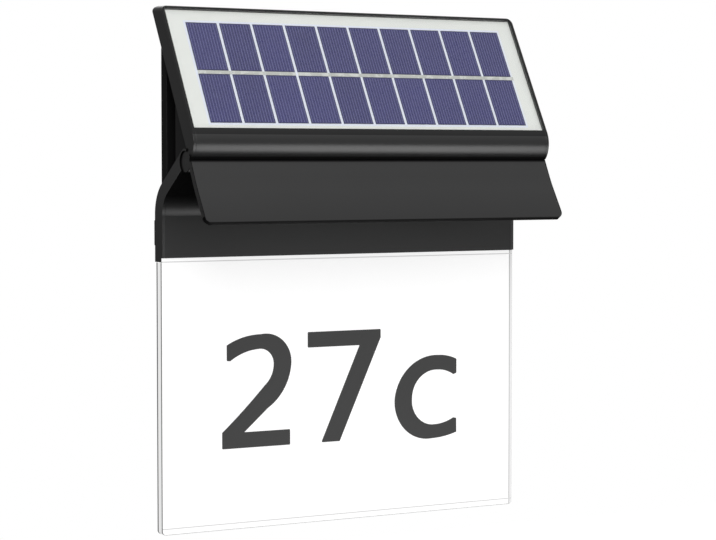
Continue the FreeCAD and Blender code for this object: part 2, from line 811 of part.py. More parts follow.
def sector(name, opening, radius, low, high):
    """A wedge about the hinge axis between two angles, cut out of the barrel."""
    start, stop = opening
    curves = outline(PIVOT, polar(PIVOT, radius, start),
                     ("arc", polar(PIVOT, radius, (start + stop) / 2)), polar(PIVOT, radius, stop))
    wire = Part.Wire(Part.__sortEdges__([curve.toShape() for curve in curves]))
    wire.Placement = Placement(Vector(low, 0, 0), Rotation(Vector(1, 1, 1), 120))
    return solid_of(name, Part.Face(wire).extrude(Vector(high - low, 0, 0)))


def corner_waste(name, side, radius, point, turn):
    """What rounding a corner at the end of an extrusion takes away. The corner passes through the
    point (y, z), and turn is the direction in which its face looks."""
    centre, reach = size.head_width / 2 - radius, 30.0
    waste = Part.makeBox(radius + 1, radius + 1, 2 * reach, Vector(centre, -radius, -reach))
    waste = waste.cut(Part.makeCylinder(radius, 2 * reach, Vector(centre, -radius, -reach)))
    if side < 0:
        waste = waste.mirror(Vector(0, 0, 0), Vector(1, 0, 0))
    feature = solid_of(name, waste)
    feature.Placement = Placement(Vector(0, *point), Rotation(Vector(1, 0, 0), turn))
    return feature


def visor():
    body = extrusion("visor_blank", visor_outline(), "head_width")
    tools = [corner_waste("visor_corner", side, size.visor_corner, VISOR_TIP, size.visor_flare - 180)
             for side in RIGHT_AND_LEFT]
    reach = size.barrel_radius + 1.5
    for side in RIGHT_AND_LEFT:
        middle = side * size.lug_offset
        half = size.lug_thick / 2 + size.washer_gap + size.washer_thick
        tools.append(rod("lug_cavity", (middle - half, *PIVOT), (1, 0, 0), "barrel_cavity",
                         "lug_thick + 2 * washer_gap + 2 * washer_thick"))
        tools.append(sector("lug_opening", SLOT_OPENING, reach, middle - half, middle + half))
        start = side * (size.lug_offset - size.pin_length / 2)
        tools.append(rod("pin_bore", (start, *PIVOT), (side, 0, 0), "pin_radius", "60"))
        low, high = sorted((side * (HALF_INNER - 0.2), side * (size.head_width / 2 + 1)))
        rib = size.rib_angle
        tools.append(rib_trim(low, high, rib))
    tools.append(rod("lead_cavity", (-14, *PIVOT), (1, 0, 0), "barrel_cavity - 0.6", "28"))
    tools.append(sector("lead_opening", LEAD_OPENING, reach, -14, 0))
    tools.append(head_duct("visor_duct"))
    keep(cut("visor_cut", body, tools), "visor")


def rib_trim(low, high, angle):
    """A box that takes the rib off the barrel's end, where the housing's cap sits."""
    start = size.barrel_radius - 0.1
    box = Part.makeBox(high - low, 8.0, 8.0, Vector(low, start, -4.0))
    feature = solid_of("rib_trim", box)
    feature.Placement = Placement(Vector(0, *PIVOT), Rotation(Vector(1, 0, 0), angle))
    return feature


# ---------------------------------------------------------------- solar housing


def notch_steps():
    """The housing's rear face down to the hinge, with the notch that clears the arm's lip."""
    drop = size.rear_face - PIVOT_IN_HEAD[1]
    start = math.degrees(math.asin(drop / size.notch_radius))
    stop = size.notch_end - size.head_angle
    return [polar(PIVOT_IN_HEAD, size.notch_radius, start),
            ("arc", polar(PIVOT_IN_HEAD, size.notch_radius, (start + stop) / 2)),
            polar(PIVOT_IN_HEAD, size.notch_radius, stop),
            polar(PIVOT_IN_HEAD, size.saddle_radius, stop)]


def nose_steps():
    """From the saddle's front, past the crease over the visor, round the nose to the front face."""
    saddle_end = 150.0 - size.head_angle
    step = polar(PIVOT_IN_HEAD, size.saddle_radius, saddle_end)
    rise = polar(PIVOT_IN_HEAD, size.saddle_radius + size.crease_gap, saddle_end)
    down = polar((0, 0), 1.0, size.visor_slope - 180 - size.head_angle)
    crease = shifted(rise, down, 1.7)
    back, drop = size.nose_start - crease[0], size.front_face - crease[1]
    radius = (back ** 2 + drop ** 2) / (2 * drop)
    centre = (size.nose_start, size.front_face - radius)
    low_angle = math.degrees(math.atan2(crease[1] - centre[1], crease[0] - centre[0]))
    return [step, rise, crease, ("arc", polar(centre, radius, (90 + low_angle) / 2)),
            (size.nose_start, size.front_face)]


def saddle_middle(start, stop):
    return polar(PIVOT_IN_HEAD, size.saddle_radius, (start + stop) / 2)


def housing_outline():
    rib_angle = size.rib_angle - size.head_angle
    rib = rib_points(PIVOT_IN_HEAD, rib_angle, size.saddle_radius, size.rib_gap)
    rib_half = math.degrees(math.asin((RIB_NECK[0] + size.rib_gap) / size.saddle_radius))
    notch = size.notch_end - size.head_angle
    saddle_end = 150.0 - size.head_angle
    floor = size.rear_face + size.rear_wall
    return outline(
        (size.pocket_high, size.front_face), (size.top_front, size.front_face, 1.0),
        (size.top_rear, size.rear_face, 2.0), *notch_steps(),
        ("arc", saddle_middle(notch, rib_angle - rib_half)), *rib,
        ("arc", saddle_middle(rib_angle + rib_half, saddle_end)), *nose_steps(),
        (size.pocket_low, size.front_face), (size.pocket_low, size.ledge_face),
        (size.pocket_low + size.ledge, size.ledge_face), (size.pocket_low + size.ledge, floor),
        (size.pocket_high - size.ledge, floor), (size.pocket_high - size.ledge, size.ledge_face),
        (size.pocket_high, size.ledge_face))


def housing_cap_outline():
    return outline(
        (size.top_front, size.front_face, 1.0), (size.top_rear, size.rear_face, 2.0),
        *notch_steps(),
        ("arc", saddle_middle(size.notch_end - size.head_angle, 150.0 - size.head_angle)),
        *nose_steps())


def top_corner(name, side):
    """What the rounding of the housing's top corner takes away, along the slanted top face."""
    tilt = math.degrees(math.atan2(size.top_rear - size.top_front,
                                   size.front_face - size.rear_face))
    front = from_frame(HEAD, size.top_front, size.front_face)
    return corner_waste(name, side, size.top_corner, front, size.head_angle + tilt)


def solar_housing():
    curves = housing_outline() + circle((-15.3, 38.6), size.nose_bore)
    body = extrusion("solar_housing_blank", curves, "head_width - 2 * cap_wall", frame=HEAD)
    tools = [head_duct("housing_duct")]
    tools += [top_corner("housing_top_corner", side) for side in RIGHT_AND_LEFT]
    for across, up in COVER_SCREWS:
        tools.append(rod("cover_screw_hole", (across, up, size.rear_face - 1), (0, 0, 1),
                         "1.25", "rear_wall + 2", HEAD))
    for across, up in WIRE_HOLES:
        tools.append(rod("wire_hole", (across, up, size.rear_face - 1), (0, 0, 1),
                         "3", "rear_wall + 2", HEAD))
    for across in COVER_TABS:
        tools.append(tool_box("tab_slot", (across - 6.2, TAB_LOW - 0.2, size.rear_face - 1),
                              (across + 6.2, TAB_LOW + TAB_THICK + 0.2, size.rear_face + 1.8), HEAD))
    keep(cut("solar_housing_cut", body, tools), "solar_housing")


def housing_caps():
    for side, word in zip(RIGHT_AND_LEFT, ("right", "left")):
        middle = side * (size.head_width - size.cap_wall) / 2
        blank = extrusion("cap_blank_" + word, housing_cap_outline(), "cap_wall", middle, HEAD)
        keep(cut("cap_cut_" + word, blank, [top_corner("cap_top_corner", side)]),
             "housing_cap_" + word)


# ---------------------------------------------------------------- solar panel

def solar_panel():
    play = size.glass_play
    low, high = size.pocket_low + play, size.pocket_high - play
    half = HALF_INNER - play
    top = size.front_face - size.glass_recess
    glass = extrusion("cover_glass", outline((-half, low, 1), (half, low, 1), (half, high, 1),
                                             (-half, high, 1)),
                      "glass_thick", top - size.glass_thick / 2, HEAD, "XY_Plane")
    keep(glass, "cover_glass")
    seal_top = size.ledge_face + size.seal_height
    rim = outline((-half, low), (half, low), (half, high), (-half, high))
    inner = size.ledge - 0.2
    rim += outline((-half + inner, low + inner), (half - inner, low + inner),
                   (half - inner, high - inner), (-half + inner, high - inner))
    keep(extrusion("glass_seal", rim, "seal_height", seal_top - size.seal_height / 2, HEAD,
                   "XY_Plane"), "glass_seal")
    keep(block("backsheet_blank", (-half, low, seal_top),
               ("head_width - 2 * cap_wall - 2 * glass_play",
                "pocket_high - pocket_low - 2 * glass_play", "backsheet_thick"), HEAD), "backsheet")
    face = seal_top + size.backsheet_thick
    cells, ribbons = [], []
    for row in range(2):
        up = size.cell_low + row * (size.cell_height + size.row_gap)
        for column in range(10):
            left = size.cell_left + column * size.cell_pitch
            cells.append(block("cell", (left, up, face), ("cell_width", "cell_height", "cell_thick"),
                               HEAD))
    for column in range(10):
        left = size.cell_left + column * size.cell_pitch
        length = "cell_pitch - 1.3" if column == 2 else "cell_pitch - 0.25"
        ribbons.append(block("ribbon", (left, size.cell_low + size.cell_height + 0.15, face),
                             (length, "row_gap - 0.3", "cell_thick"), HEAD))
    keep(group("cell_field", cells), "solar_cells")
    keep(group("ribbon_row", ribbons), "cell_ribbons")


# ---------------------------------------------------------------- battery compartment

COVER_SCREWS = ((-85.0, 16.5), (0.0, 16.5), (85.0, 16.5))
COVER_TABS = (-60.0, 60.0)
COVER_FACE = size.rear_face - size.gasket_thick
WIRE_HOLES = ((61.2, 9.0), (72.0, 9.0))
TAB_LOW = -13.2
TAB_THICK = 1.4


def cover_steps(inset, face):
    """The compartment's side outline, drawn in by an inset, up to a plane of the head frame."""
    back = size.cover_back - inset
    shoulder = (size.cover_back, size.cover_shoulder)
    high = from_frame(HEAD, size.cover_high, COVER_FACE)
    slope = (high[0] - shoulder[0], high[1] - shoulder[1])
    length = math.hypot(*slope)
    slope = (slope[0] / length, slope[1] / length)
    inward = (-slope[1], slope[0])
    if inward[1] > 0:
        inward = (slope[1], -slope[0])
    top_line = shifted(shoulder, inward, inset)
    plane = from_frame(HEAD, 0.0, face)
    under = from_frame(ARM, 0.0, size.cover_under + inset)
    return [meet(plane, PANEL_WAY, top_line, slope), meet((back, 0.0), UP, top_line, slope),
            meet((back, 0.0), UP, under, ARM_WAY), meet(plane, PANEL_WAY, under, ARM_WAY)]


def battery_cover():
    high, shoulder, heel, toe = cover_steps(0.0, COVER_FACE)
    body = extrusion("battery_cover_blank", outline(high, (*shoulder, 3.0), (*heel, 2.0), toe),
                     "cover_width")
    dress(body, "Fillet", "cover_round",
          lambda middle, edge: abs(abs(middle.x) - size.cover_width / 2) < 0.01
          and into_frame(HEAD, middle.y, middle.z)[1] < COVER_FACE - 0.1)
    inner = cover_steps(size.cover_wall, COVER_FACE + 2)
    hollow = extrusion("cover_hollow", outline(*inner), "cover_width - 2 * cover_wall")
    shell = cut("cover_shell", body, [hollow])
    additions = [shell]
    for across, up in COVER_SCREWS:
        additions.append(rod("screw_boss", (across, up, 28.6), (0, 0, 1), "3.2",
                             "rear_face - gasket_thick - 28.6", HEAD))
    for across in COVER_TABS:
        additions.append(tool_box("cover_tab", (across - 6, TAB_LOW, COVER_FACE - 2.4),
                                  (across + 6, TAB_LOW + TAB_THICK, size.rear_face + 1.6), HEAD))
        additions.append(tool_box("tab_foot", (across - 6, TAB_LOW - 1, COVER_FACE - 2.4),
                                  (across + 6, TAB_LOW + 0.5, COVER_FACE - 0.4), HEAD))
    for low in (size.button_up - 6.6, size.button_up + 5.0):
        additions.append(tool_box("board_rail", (83.0, low, size.button_out - 4),
                                  (size.cover_width / 2 - 1, low + 1.6, size.button_out + 4), HEAD))
    whole = fused("cover_whole", additions)
    tools = []
    for across, up in COVER_SCREWS:
        tools.append(rod("screw_seat", (across, up, 20.0), (0, 0, 1), "2.4", "9.6", HEAD))
        tools.append(rod("screw_hole", (across, up, 20.0), (0, 0, 1), "1.35", "20", HEAD))
    wall_out = size.cover_width / 2
    tools.append(rod("button_hole", (wall_out + 1, size.button_up, size.button_out), (-1, 0, 0),
                     "button_radius + button_play", "6", HEAD))
    tools.append(rod("seal_seat", (wall_out - 0.7, size.button_up, size.button_out), (-1, 0, 0),
                     "button_radius + 1.25", "3", HEAD))
    keep(cut("battery_cover_cut", whole, tools), "battery_cover")


def cover_gasket():
    high, _, _, toe = (into_frame(HEAD, *point) for point in cover_steps(0.0, COVER_FACE))
    half, edge = size.cover_width / 2, 1.2
    curves = outline((-half, toe[0], 3), (half, toe[0], 3), (half, high[0], 3), (-half, high[0], 3))
    curves += outline((-half + edge, toe[0] + edge, 2), (half - edge, toe[0] + edge, 2),
                      (half - edge, high[0] - edge, 2), (-half + edge, high[0] - edge, 2))
    keep(extrusion("cover_gasket", curves, "gasket_thick", COVER_FACE + size.gasket_thick / 2,
                   HEAD, "XY_Plane"), "cover_gasket")


def cover_screws():
    screws = [screw("cover_screw", (across, up, 29.6), (0, 0, 1), (2.2, 1.6), (1.25, 5.6), HEAD)
              for across, up in COVER_SCREWS]
    keep(group("cover_screw_set", screws), "cover_screws")


def batteries():
    centre_up, centre_out = size.battery_up, size.battery_out
    left = -50.3
    cells = []
    for index in range(2):
        start = left + index * (size.battery_length + 1.0)
        can = rod("battery_can", (start, centre_up, centre_out), (1, 0, 0), "battery_radius",
                  "battery_length", HEAD)
        nub = rod("battery_nub", (start + size.battery_length, centre_up, centre_out), (1, 0, 0),
                  "2.7", "1", HEAD)
        cells.append(fused("battery_cell", [can, nub]))
    keep(group("battery_pair", cells), "battery_cells")
    right = left + 2 * (size.battery_length + 1.0)
    cradle = tool_box("holder_blank", (left - 4.7, centre_up - 8.3, centre_out),
                      (right + 4.4, centre_up + 8.3, size.rear_face), HEAD)
    trough = rod("holder_trough", (left - 2.7, centre_up, centre_out), (1, 0, 0),
                 "battery_radius + 0.25", "2 * battery_length + 7.1", HEAD)
    keep(cut("battery_holder_cut", cradle, [trough]), "battery_holder")
    contacts = []
    for plate, bump_start, bump in ((left - 2.7, left - 2.3, "2.3"), (right + 2.0, right, "2")):
        strip = tool_box("contact_plate", (plate, centre_up - 4, centre_out),
                         (plate + 0.4, centre_up + 4, centre_out + 6), HEAD)
        spring = rod("contact_spring", (bump_start, centre_up, centre_out + 2.2), (1, 0, 0), "2", bump,
                     HEAD)
        contacts.append(fused("battery_contact", [strip, spring]))
    keep(group("battery_contact_pair", contacts), "battery_contacts")


# ---------------------------------------------------------------- electronics

BOARD_LOW = 35.8
BOARD_TOP = 36.6
LEAD_HEIGHT = 37.9


def head_lead_points():
    angle = size.rib_angle - size.head_angle
    reach = (LEAD_HEIGHT - PIVOT_IN_HEAD[1]) / math.sin(math.radians(angle))
    corner = polar(PIVOT_IN_HEAD, reach, angle)
    across = size.lead_offset
    route = [(across, 5.0, LEAD_HEIGHT), (across, corner[0], LEAD_HEIGHT),
             (across, *PIVOT_IN_HEAD), (0.0, *PIVOT_IN_HEAD)]
    return route, [4.0, 3.5]


def head_lead():
    points, radii = head_lead_points()
    tube = solid_of("head_lead_tube", tube_shape(points, radii, size.lead_radius))
    tube.Placement = HEAD
    keep(tube, "head_lead")


def head_duct(name):
    """The way that the head's lead takes through the nose and the barrel."""
    points, radii = head_lead_points()
    tube = solid_of(name, tube_shape(points, radii, size.lead_radius + size.duct_gap))
    tube.Placement = HEAD
    return tube


def control_board():
    left, right, low, high = 3.0, 78.0, 5.0, 36.0
    keep(tool_box("control_board_blank", (left, low, BOARD_LOW), (right, high, BOARD_TOP), HEAD),
         "control_board")
    floor = size.rear_face + size.rear_wall
    pads = [tool_box("board_pad", (across, up, floor), (across + 6, up + 6, BOARD_LOW), HEAD)
            for across in (left + 12, right - 22) for up in (low + 12, high - 8)]
    keep(group("board_pad_set", pads), "board_pads")
    parts = {
        "lead_socket": ((5.5, 5.0), (7.0, 4.0, 2.6)),
        "charge_coil": ((22.0, 22.0), (6.0, 6.0, 2.3)),
        "driver_coil": ((40.0, 22.0), (5.0, 5.0, 2.0)),
        "controller": ((30.0, 10.0), (8.0, 5.0, 1.4)),
        "charge_chip": ((46.0, 11.0), (5.0, 4.0, 1.2)),
        "capacitor": ((58.0, 22.0), (3.2, 1.6, 1.2)),
        "resistor": ((52.0, 30.0), (2.0, 1.2, 0.6)),
    }
    chips = [tool_box(name, (at[0], at[1], BOARD_TOP),
                      (at[0] + box[0], at[1] + box[1], BOARD_TOP + box[2]), HEAD)
             for name, (at, box) in parts.items()]
    keep(group("component_set", chips), "board_components")
    back = size.ledge_face + size.seal_height
    tails = [tool_box("panel_tail", (across, 30.0, BOARD_TOP), (across + 1.5, 30.4, back), HEAD)
             for across in (66.0, 72.0)]
    keep(group("panel_tail_pair", tails), "panel_tails")


def wires(name, routes, radius):
    strands = []
    for points, radii in routes:
        strand = solid_of("strand", tube_shape(points, radii, radius))
        strand.Placement = HEAD
        strands.append(strand)
    keep(group(name + "_set", strands), name)


def battery_leads():
    start = -50.3 + 2 * (size.battery_length + 1.0) + 4.4
    wires("battery_leads", [
        ([(start, 3.2, 32.2), (60.0, 3.2, 32.2), (60.0, 9.0, 32.2), (60.0, 9.0, BOARD_LOW)],
         [2.5, 1.8]),
        ([(start, 3.2, 30.2), (62.4, 3.2, 30.2), (62.4, 9.0, 30.2), (62.4, 9.0, BOARD_LOW)],
         [2.5, 2.5]),
    ], 0.7)


def mode_switch():
    up, out = size.button_up, size.button_out
    board = tool_box("switch_board_blank", (83.7, up - 4.9, out - 4.5), (85.0, up + 4.9, out + 4.5),
                     HEAD)
    keep(board, "switch_board")
    keep(tool_box("mode_switch_blank", (85.0, up - 3, out - 3), (88.1, up + 3, out + 3), HEAD),
         "mode_switch")
    wires("switch_leads", [
        ([(83.7, 0.0, out + 2), (73.0, 0.0, out + 2), (73.0, 9.0, 31.0), (73.0, 9.0, BOARD_LOW)],
         [3.0, 2.2]),
        ([(83.7, -2.4, out + 2), (71.0, -2.4, out + 2), (71.0, 9.0, 31.0), (71.0, 9.0, BOARD_LOW)],
         [3.0, 2.2]),
    ], 0.5)
    wall_out = size.cover_width / 2
    wall_in = wall_out - size.cover_wall
    inner_end = 89.0
    stem = rod("button_stem", (inner_end, up, out), (1, 0, 0), "button_radius",
               "cover_width / 2 + button_proud - 89", HEAD)
    flange = rod("button_flange", (wall_in - 1.1, up, out), (1, 0, 0), "button_radius + 1.2",
                 "0.8", HEAD)
    keep(fused("mode_button_whole", [stem, flange]), "mode_button")
    ring = doc.addObject("Part::Torus", "button_seal_ring")
    bind(ring, "Radius1", "button_radius + 0.65")
    bind(ring, "Radius2", "0.55")
    ring.Placement = HEAD * Placement(Vector(wall_in + 0.5, up, out), Rotation(Vector(0, 1, 0), 90))
    keep(ring, "button_seal")


# ---------------------------------------------------------------- the whole sign

def build():
    wall_plate()
    hang_studs()
    lower_body()
    body_caps()
    wall_pads()
    light_guide()
    sheet_with_holes("reflector_sheet", "sheet_thick", SHEET_BACK,
                     size.row_width / 2 - size.sheet_side, size.guide_bottom + size.sheet_inset,
                     size.guide_top, 2.0)
    sheet_with_holes("plate_seal", "seal_thick", SHEET_BACK + size.seal_thick, ROW_INNER - 1.5,
                     size.back_lip + 0.3, size.guide_top - 0.2, 0.5)
    clamp_screws()
    figure_two()
    figure_seven()
    figure_c()
    led_board()
    body_lead()
    hinge_lugs()
    pivot_pins()
    visor()
    solar_housing()
    housing_caps()
    solar_panel()
    battery_cover()
    cover_gasket()
    cover_screws()
    batteries()
    control_board()
    battery_leads()
    mode_switch()
    head_lead()


def write_parts():
    doc.recompute()
    failed = [item.Label for item in doc.Objects if {"Invalid", "Error"} & set(item.State)]
    if failed:
        raise RuntimeError("failed objects: " + ", ".join(failed))
    os.makedirs("parts", exist_ok=True)
    for thing in subparts:
        shape = thing.Shape
        if shape.isNull() or not shape.isValid() or not shape.Solids:
            raise RuntimeError("no valid solid: " + thing.Label)
        shape.exportStep(f"parts/{thing.Label}.step")
        print(f"{thing.Label}: {len(shape.Solids)} solid(s), {shape.Volume:.1f} mm3")


build()
write_parts()
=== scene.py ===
"""House number sign with a lit acrylic plate and a tilting solar head, dressed for rendering."""
import math

import bmesh
import bpy
from bpy.props import FloatProperty, FloatVectorProperty, IntProperty, PointerProperty
from bpy.types import Operator, Panel, PropertyGroup
from mathutils import Matrix, Vector


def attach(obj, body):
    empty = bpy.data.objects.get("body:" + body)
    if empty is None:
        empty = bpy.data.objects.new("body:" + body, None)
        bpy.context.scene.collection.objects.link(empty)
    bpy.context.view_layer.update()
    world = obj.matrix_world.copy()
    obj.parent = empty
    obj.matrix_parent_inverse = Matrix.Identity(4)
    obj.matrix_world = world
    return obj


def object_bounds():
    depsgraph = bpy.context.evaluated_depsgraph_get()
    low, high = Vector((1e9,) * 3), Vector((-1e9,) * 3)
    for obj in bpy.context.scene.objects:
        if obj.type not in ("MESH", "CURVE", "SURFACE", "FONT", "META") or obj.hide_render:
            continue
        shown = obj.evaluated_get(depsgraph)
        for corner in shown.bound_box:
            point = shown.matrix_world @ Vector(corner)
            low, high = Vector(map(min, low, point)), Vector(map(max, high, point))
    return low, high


bl_info = {
    "name": "House Number Sign",
    "version": (1, 0, 0),
    "blender": (4, 5, 0),
    "location": "3D View > Sidebar > House Number",
    "description": "Dresses a solar house number sign with its finishes, small parts and studio",
    "category": "Object",
}

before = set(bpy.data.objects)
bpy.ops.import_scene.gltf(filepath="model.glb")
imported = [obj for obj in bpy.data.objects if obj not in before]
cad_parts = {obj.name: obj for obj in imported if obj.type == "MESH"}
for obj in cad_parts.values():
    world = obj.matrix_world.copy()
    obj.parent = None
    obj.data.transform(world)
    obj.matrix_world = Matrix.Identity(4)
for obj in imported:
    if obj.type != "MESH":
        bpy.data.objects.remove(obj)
cad_box = [list(corner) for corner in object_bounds()]

MM = 0.001
HEAD_ANGLE = math.radians(60.6)

# How deep under a face or an edge a mask on it reaches.
SKIN = 0.2 * MM

# The solar field in the head's own directions: across the panel, and up along its slope. The
# cells' faces lie this far out from the axis.
CELL_LEFT = -88.5 * MM
CELL_LOW = -8.1 * MM
CELL_WIDE = 16.45 * MM
CELL_HIGH = 26.55 * MM
COLUMN_PITCH = 17.93 * MM
ROW_PITCH = 28.7 * MM
COLUMNS, ROWS = 10, 2
CELL_FACE = 42.1 * MM

# How far round a cell the sheet looks bluish, how wide a cell's darker edge is, how much shorter
# than the cell its contact fingers are, and how thick they are.
CELL_HALO = 1.2 * MM
CELL_EDGE = 0.4 * MM
FINGER_STOP = 1.2 * MM
FINGER_THICK = 0.02 * MM

# The shares of the cells' colour that their silicon varies between, and that of the darker edge.
# A cell's number is its column's plus this much for each row.
CELL_TONES = (0.82, 1.2)
EDGE_TONE = 0.62
ROW_STEP = 17.0

# The visor blade runs down and out at this angle. Its tip is this far along it, its sheet's middle
# lies this far to the side, and the strip of painted shade round its lower corners reaches this
# far from the middle. Last comes the corners' radius.
VISOR_WAY = math.radians(-122.0)
VISOR_TIP = 59.1 * MM
VISOR_MIDDLE = -31.3 * MM
VISOR_HALF = 1.0 * MM
VISOR_CORNER = 3.8 * MM

# How far up from its tip the visor is darkened with painted shade, and how far it is dull, and
# the radius of its soft edges.
TIP_EDGE = 0.5 * MM
TIP_DULL = 30.0 * MM
VISOR_EDGE = 0.12 * MM

# Half the head's width, and half the band of painted shade just inside each of its ends.
HEAD_SIDE = 100.0 * MM
BAND_HALF = 0.18 * MM

# The crease under the nose, up along the panel and out from it, and how far its shade reaches
# on the nose and on the visor.
CREASE = (-24.0 * MM, 34.9 * MM)
CREASE_REACH = (1.6 * MM, 3.7 * MM)
VISOR_REACH = (0.6 * MM, 1.6 * MM)

# The heights where the painted shade on the arm is full and where it ends, and the radius of the
# end caps' soft edges.
ARM_REACH = (-21.0 * MM, -33.0 * MM)
CAP_EDGE = 0.02 * MM

# The head housing's front face round the glass, out from the axis.
HOUSING_FACE = 43.4 * MM

# Half the wall plate's width.
BRACKET_SIDE = 95.0 * MM

# The number plate: half its width, its foot, corner radius, middle and half thickness, and the
# height where it leaves the lower body.
PLATE_SIDE = 100.7 * MM
PLATE_LOW = -184.3 * MM
PLATE_CORNER = 2.0 * MM
PLATE_MIDDLE = -8.9 * MM
PLATE_HALF = 2.95 * MM
PLATE_MOUTH = -50.7 * MM
PLATE_SKIN = 0.05 * MM

# Where the white sheet behind the number plate ends, and the line on the plate below its mouth
# and the one over its foot.
RIM_SIDE = 98.9 * MM
SHEET_LOW = -181.3 * MM
MOUTH_LINE = PLATE_MOUTH - 2.0 * MM
FOOT_LINE = SHEET_LOW - 2.7 * MM

# The width of the line along each edge of the plate's sides, and half the width of the others.
SIDE_LINE = 1.2 * MM
RIM_HALF = 0.32 * MM
SHEET_HALF = 0.28 * MM
MOUTH_HALF = 0.25 * MM

# How brightly each area of the plate glows, as a share of its front's full glow. The glow is the
# lit plate's own light, and is also set high to wash out the shade the head casts on the plate;
# the low glow on the corners goes with their painted shade.
FRONT_GLOW = 0.93
SIDE_GLOW = 0.84
RIM_GLOW = 0.61
UPRIGHT_GLOW = 0.22
LINE_GLOW = 0.53
CORNER_GLOW = 0.06

# The tone of the plate's lines and of its edges under painted shade, as a share of the plate's
# colour.
LINE_TONE = 0.75
CORNER_TONE = 0.30

# The size of a finish's broad changes of tone, and how far its roughness varies.
BROAD = 30.0 * MM
ROUGH_SPREAD = 0.04

# The coat's tone under painted shade and under painted light, its roughness, its roughness under
# painted shade, and its index of refraction where it shines and where it doesn't.
SHADE_TONE = 0.15
LIT_TONE = 2.2
COAT_ROUGH = (0.26, 0.34)
SHADE_ROUGH = 0.95
COAT_INDEX = (1.7, 1.25)

# How strong the painted shade is on the visor's tip and the wall plate's edges, and how dull the
# coat is round the glass, on the arm, near the visor's tip and on the wall plate, from 0 to 1.
TIP_SHADE = 0.8
BRACKET_SHADE = 0.75
FRONT_DULL = 0.65
ARM_DULL = 0.35
VISOR_DULL = 0.3
BRACKET_DULL = 0.4

# The battery cells' left end, half of one's length, and the paler band at each end.
BATTERY_LEFT = -50.3 * MM
BATTERY_HALF = 24.6 * MM
BATTERY_BAND = 4.0 * MM

# Where each softbox stands from what it lights, with its width and height. The low one lights the
# nose.
KEY_PLACE, KEY_SIZE = Vector((-0.6, -1.6, 0.9)), (1.3, 1.3)
LOW_PLACE, LOW_SIZE = 1.2 * Vector((0.49, -0.777, -0.396)), (0.6, 0.58)
BACK_PLACE, BACK_SIZE = Vector((0.6, 1.5, 0.5)), (1.2, 1.2)
NOSE = Vector((0.0, -0.05, 0.0))

# The room's brightness from straight below to straight above, and how much of it comes from each
# side, from straight behind the front direction to straight along it.
SKY_LEVELS = ((0.0, 0.2), (0.42, 0.2), (0.5, 0.24), (0.62, 0.36), (0.82, 0.55), (1.0, 0.78))
SKY_FRONT = (0.42, -0.75, 0.51)
SKY_SIDES = ((0.0, 0.70), (0.12, 0.50), (0.30, 0.62), (0.5, 0.70), (0.72, 0.9), (1.0, 1.0))

# The floor's half width, and how bright it looks to the camera.
FLOOR_HALF = 6.0
FLOOR_WHITE = 0.96


# ---------------------------------------------------------------- settings

def colour_setting(name, description, default):
    return FloatVectorProperty(name=name, description=description, default=default, size=3,
                               min=0.0, max=1.0, subtype="COLOR")


class SignFinishes(PropertyGroup):
    coat: colour_setting("Powder coat", "Colour of the metal's coat", (0.0105, 0.0105, 0.0108))
    plate: colour_setting("Number plate", "Colour of the acrylic over its white sheet",
                          (0.50, 0.50, 0.50))
    foil: colour_setting("Numerals", "Colour of the foil numerals", (0.041, 0.041, 0.041))
    cell: colour_setting("Solar cells", "Colour of the silicon", (0.036, 0.034, 0.158))
    border: colour_setting("Panel border", "Colour of the sheet behind the cells",
                           (0.90, 0.90, 0.87))
    # The lit plate's own glow, set high enough to also wash out the shade the head casts on the
    # plate.
    plate_glow: FloatProperty(name="Plate glow", description="How brightly the lit plate shines",
                              default=0.75, min=0.0, max=5.0)
    grain: FloatProperty(name="Coat grain", description="Size of the powder coat's grain",
                         default=0.0007, min=0.0001, max=0.01, unit="LENGTH")


class SignDetails(PropertyGroup):
    fingers: IntProperty(name="Contact fingers", description="Fine contact lines on each cell",
                         default=11, min=3, max=30)
    finger_width: FloatProperty(name="Finger width", description="Width of a contact line",
                                default=0.00022, min=0.00005, max=0.001, unit="LENGTH")


class SignStudio(PropertyGroup):
    camera_place: FloatVectorProperty(name="Camera", description="Where the camera stands",
                                      default=(-0.5497, -0.977, -0.004), subtype="TRANSLATION")
    camera_turn: FloatProperty(name="Turn", description="Camera's turn to the right of the wall",
                               default=math.radians(30.0), subtype="ANGLE")
    camera_dip: FloatProperty(name="Dip", description="Camera's tilt below level",
                              default=math.radians(2.83), subtype="ANGLE")
    lens: FloatProperty(name="Lens", description="Focal length on a 36 mm sensor",
                        default=111.8, min=10.0, max=300.0)
    key: FloatProperty(name="Key light", description="Brightness of the large front softbox",
                       default=3.7, min=0.0, max=50.0)
    low: FloatProperty(name="Low light", description="Brightness of the softbox below",
                       default=2.6, min=0.0, max=50.0)
    back: FloatProperty(name="Back light", description="Brightness of the softbox behind",
                        default=1.6, min=0.0, max=50.0)
    floor_drop: FloatProperty(name="Floor", description="How far below the sign the floor lies",
                              default=1.2, min=0.0, max=3.0, unit="LENGTH")


# ---------------------------------------------------------------- material recipes

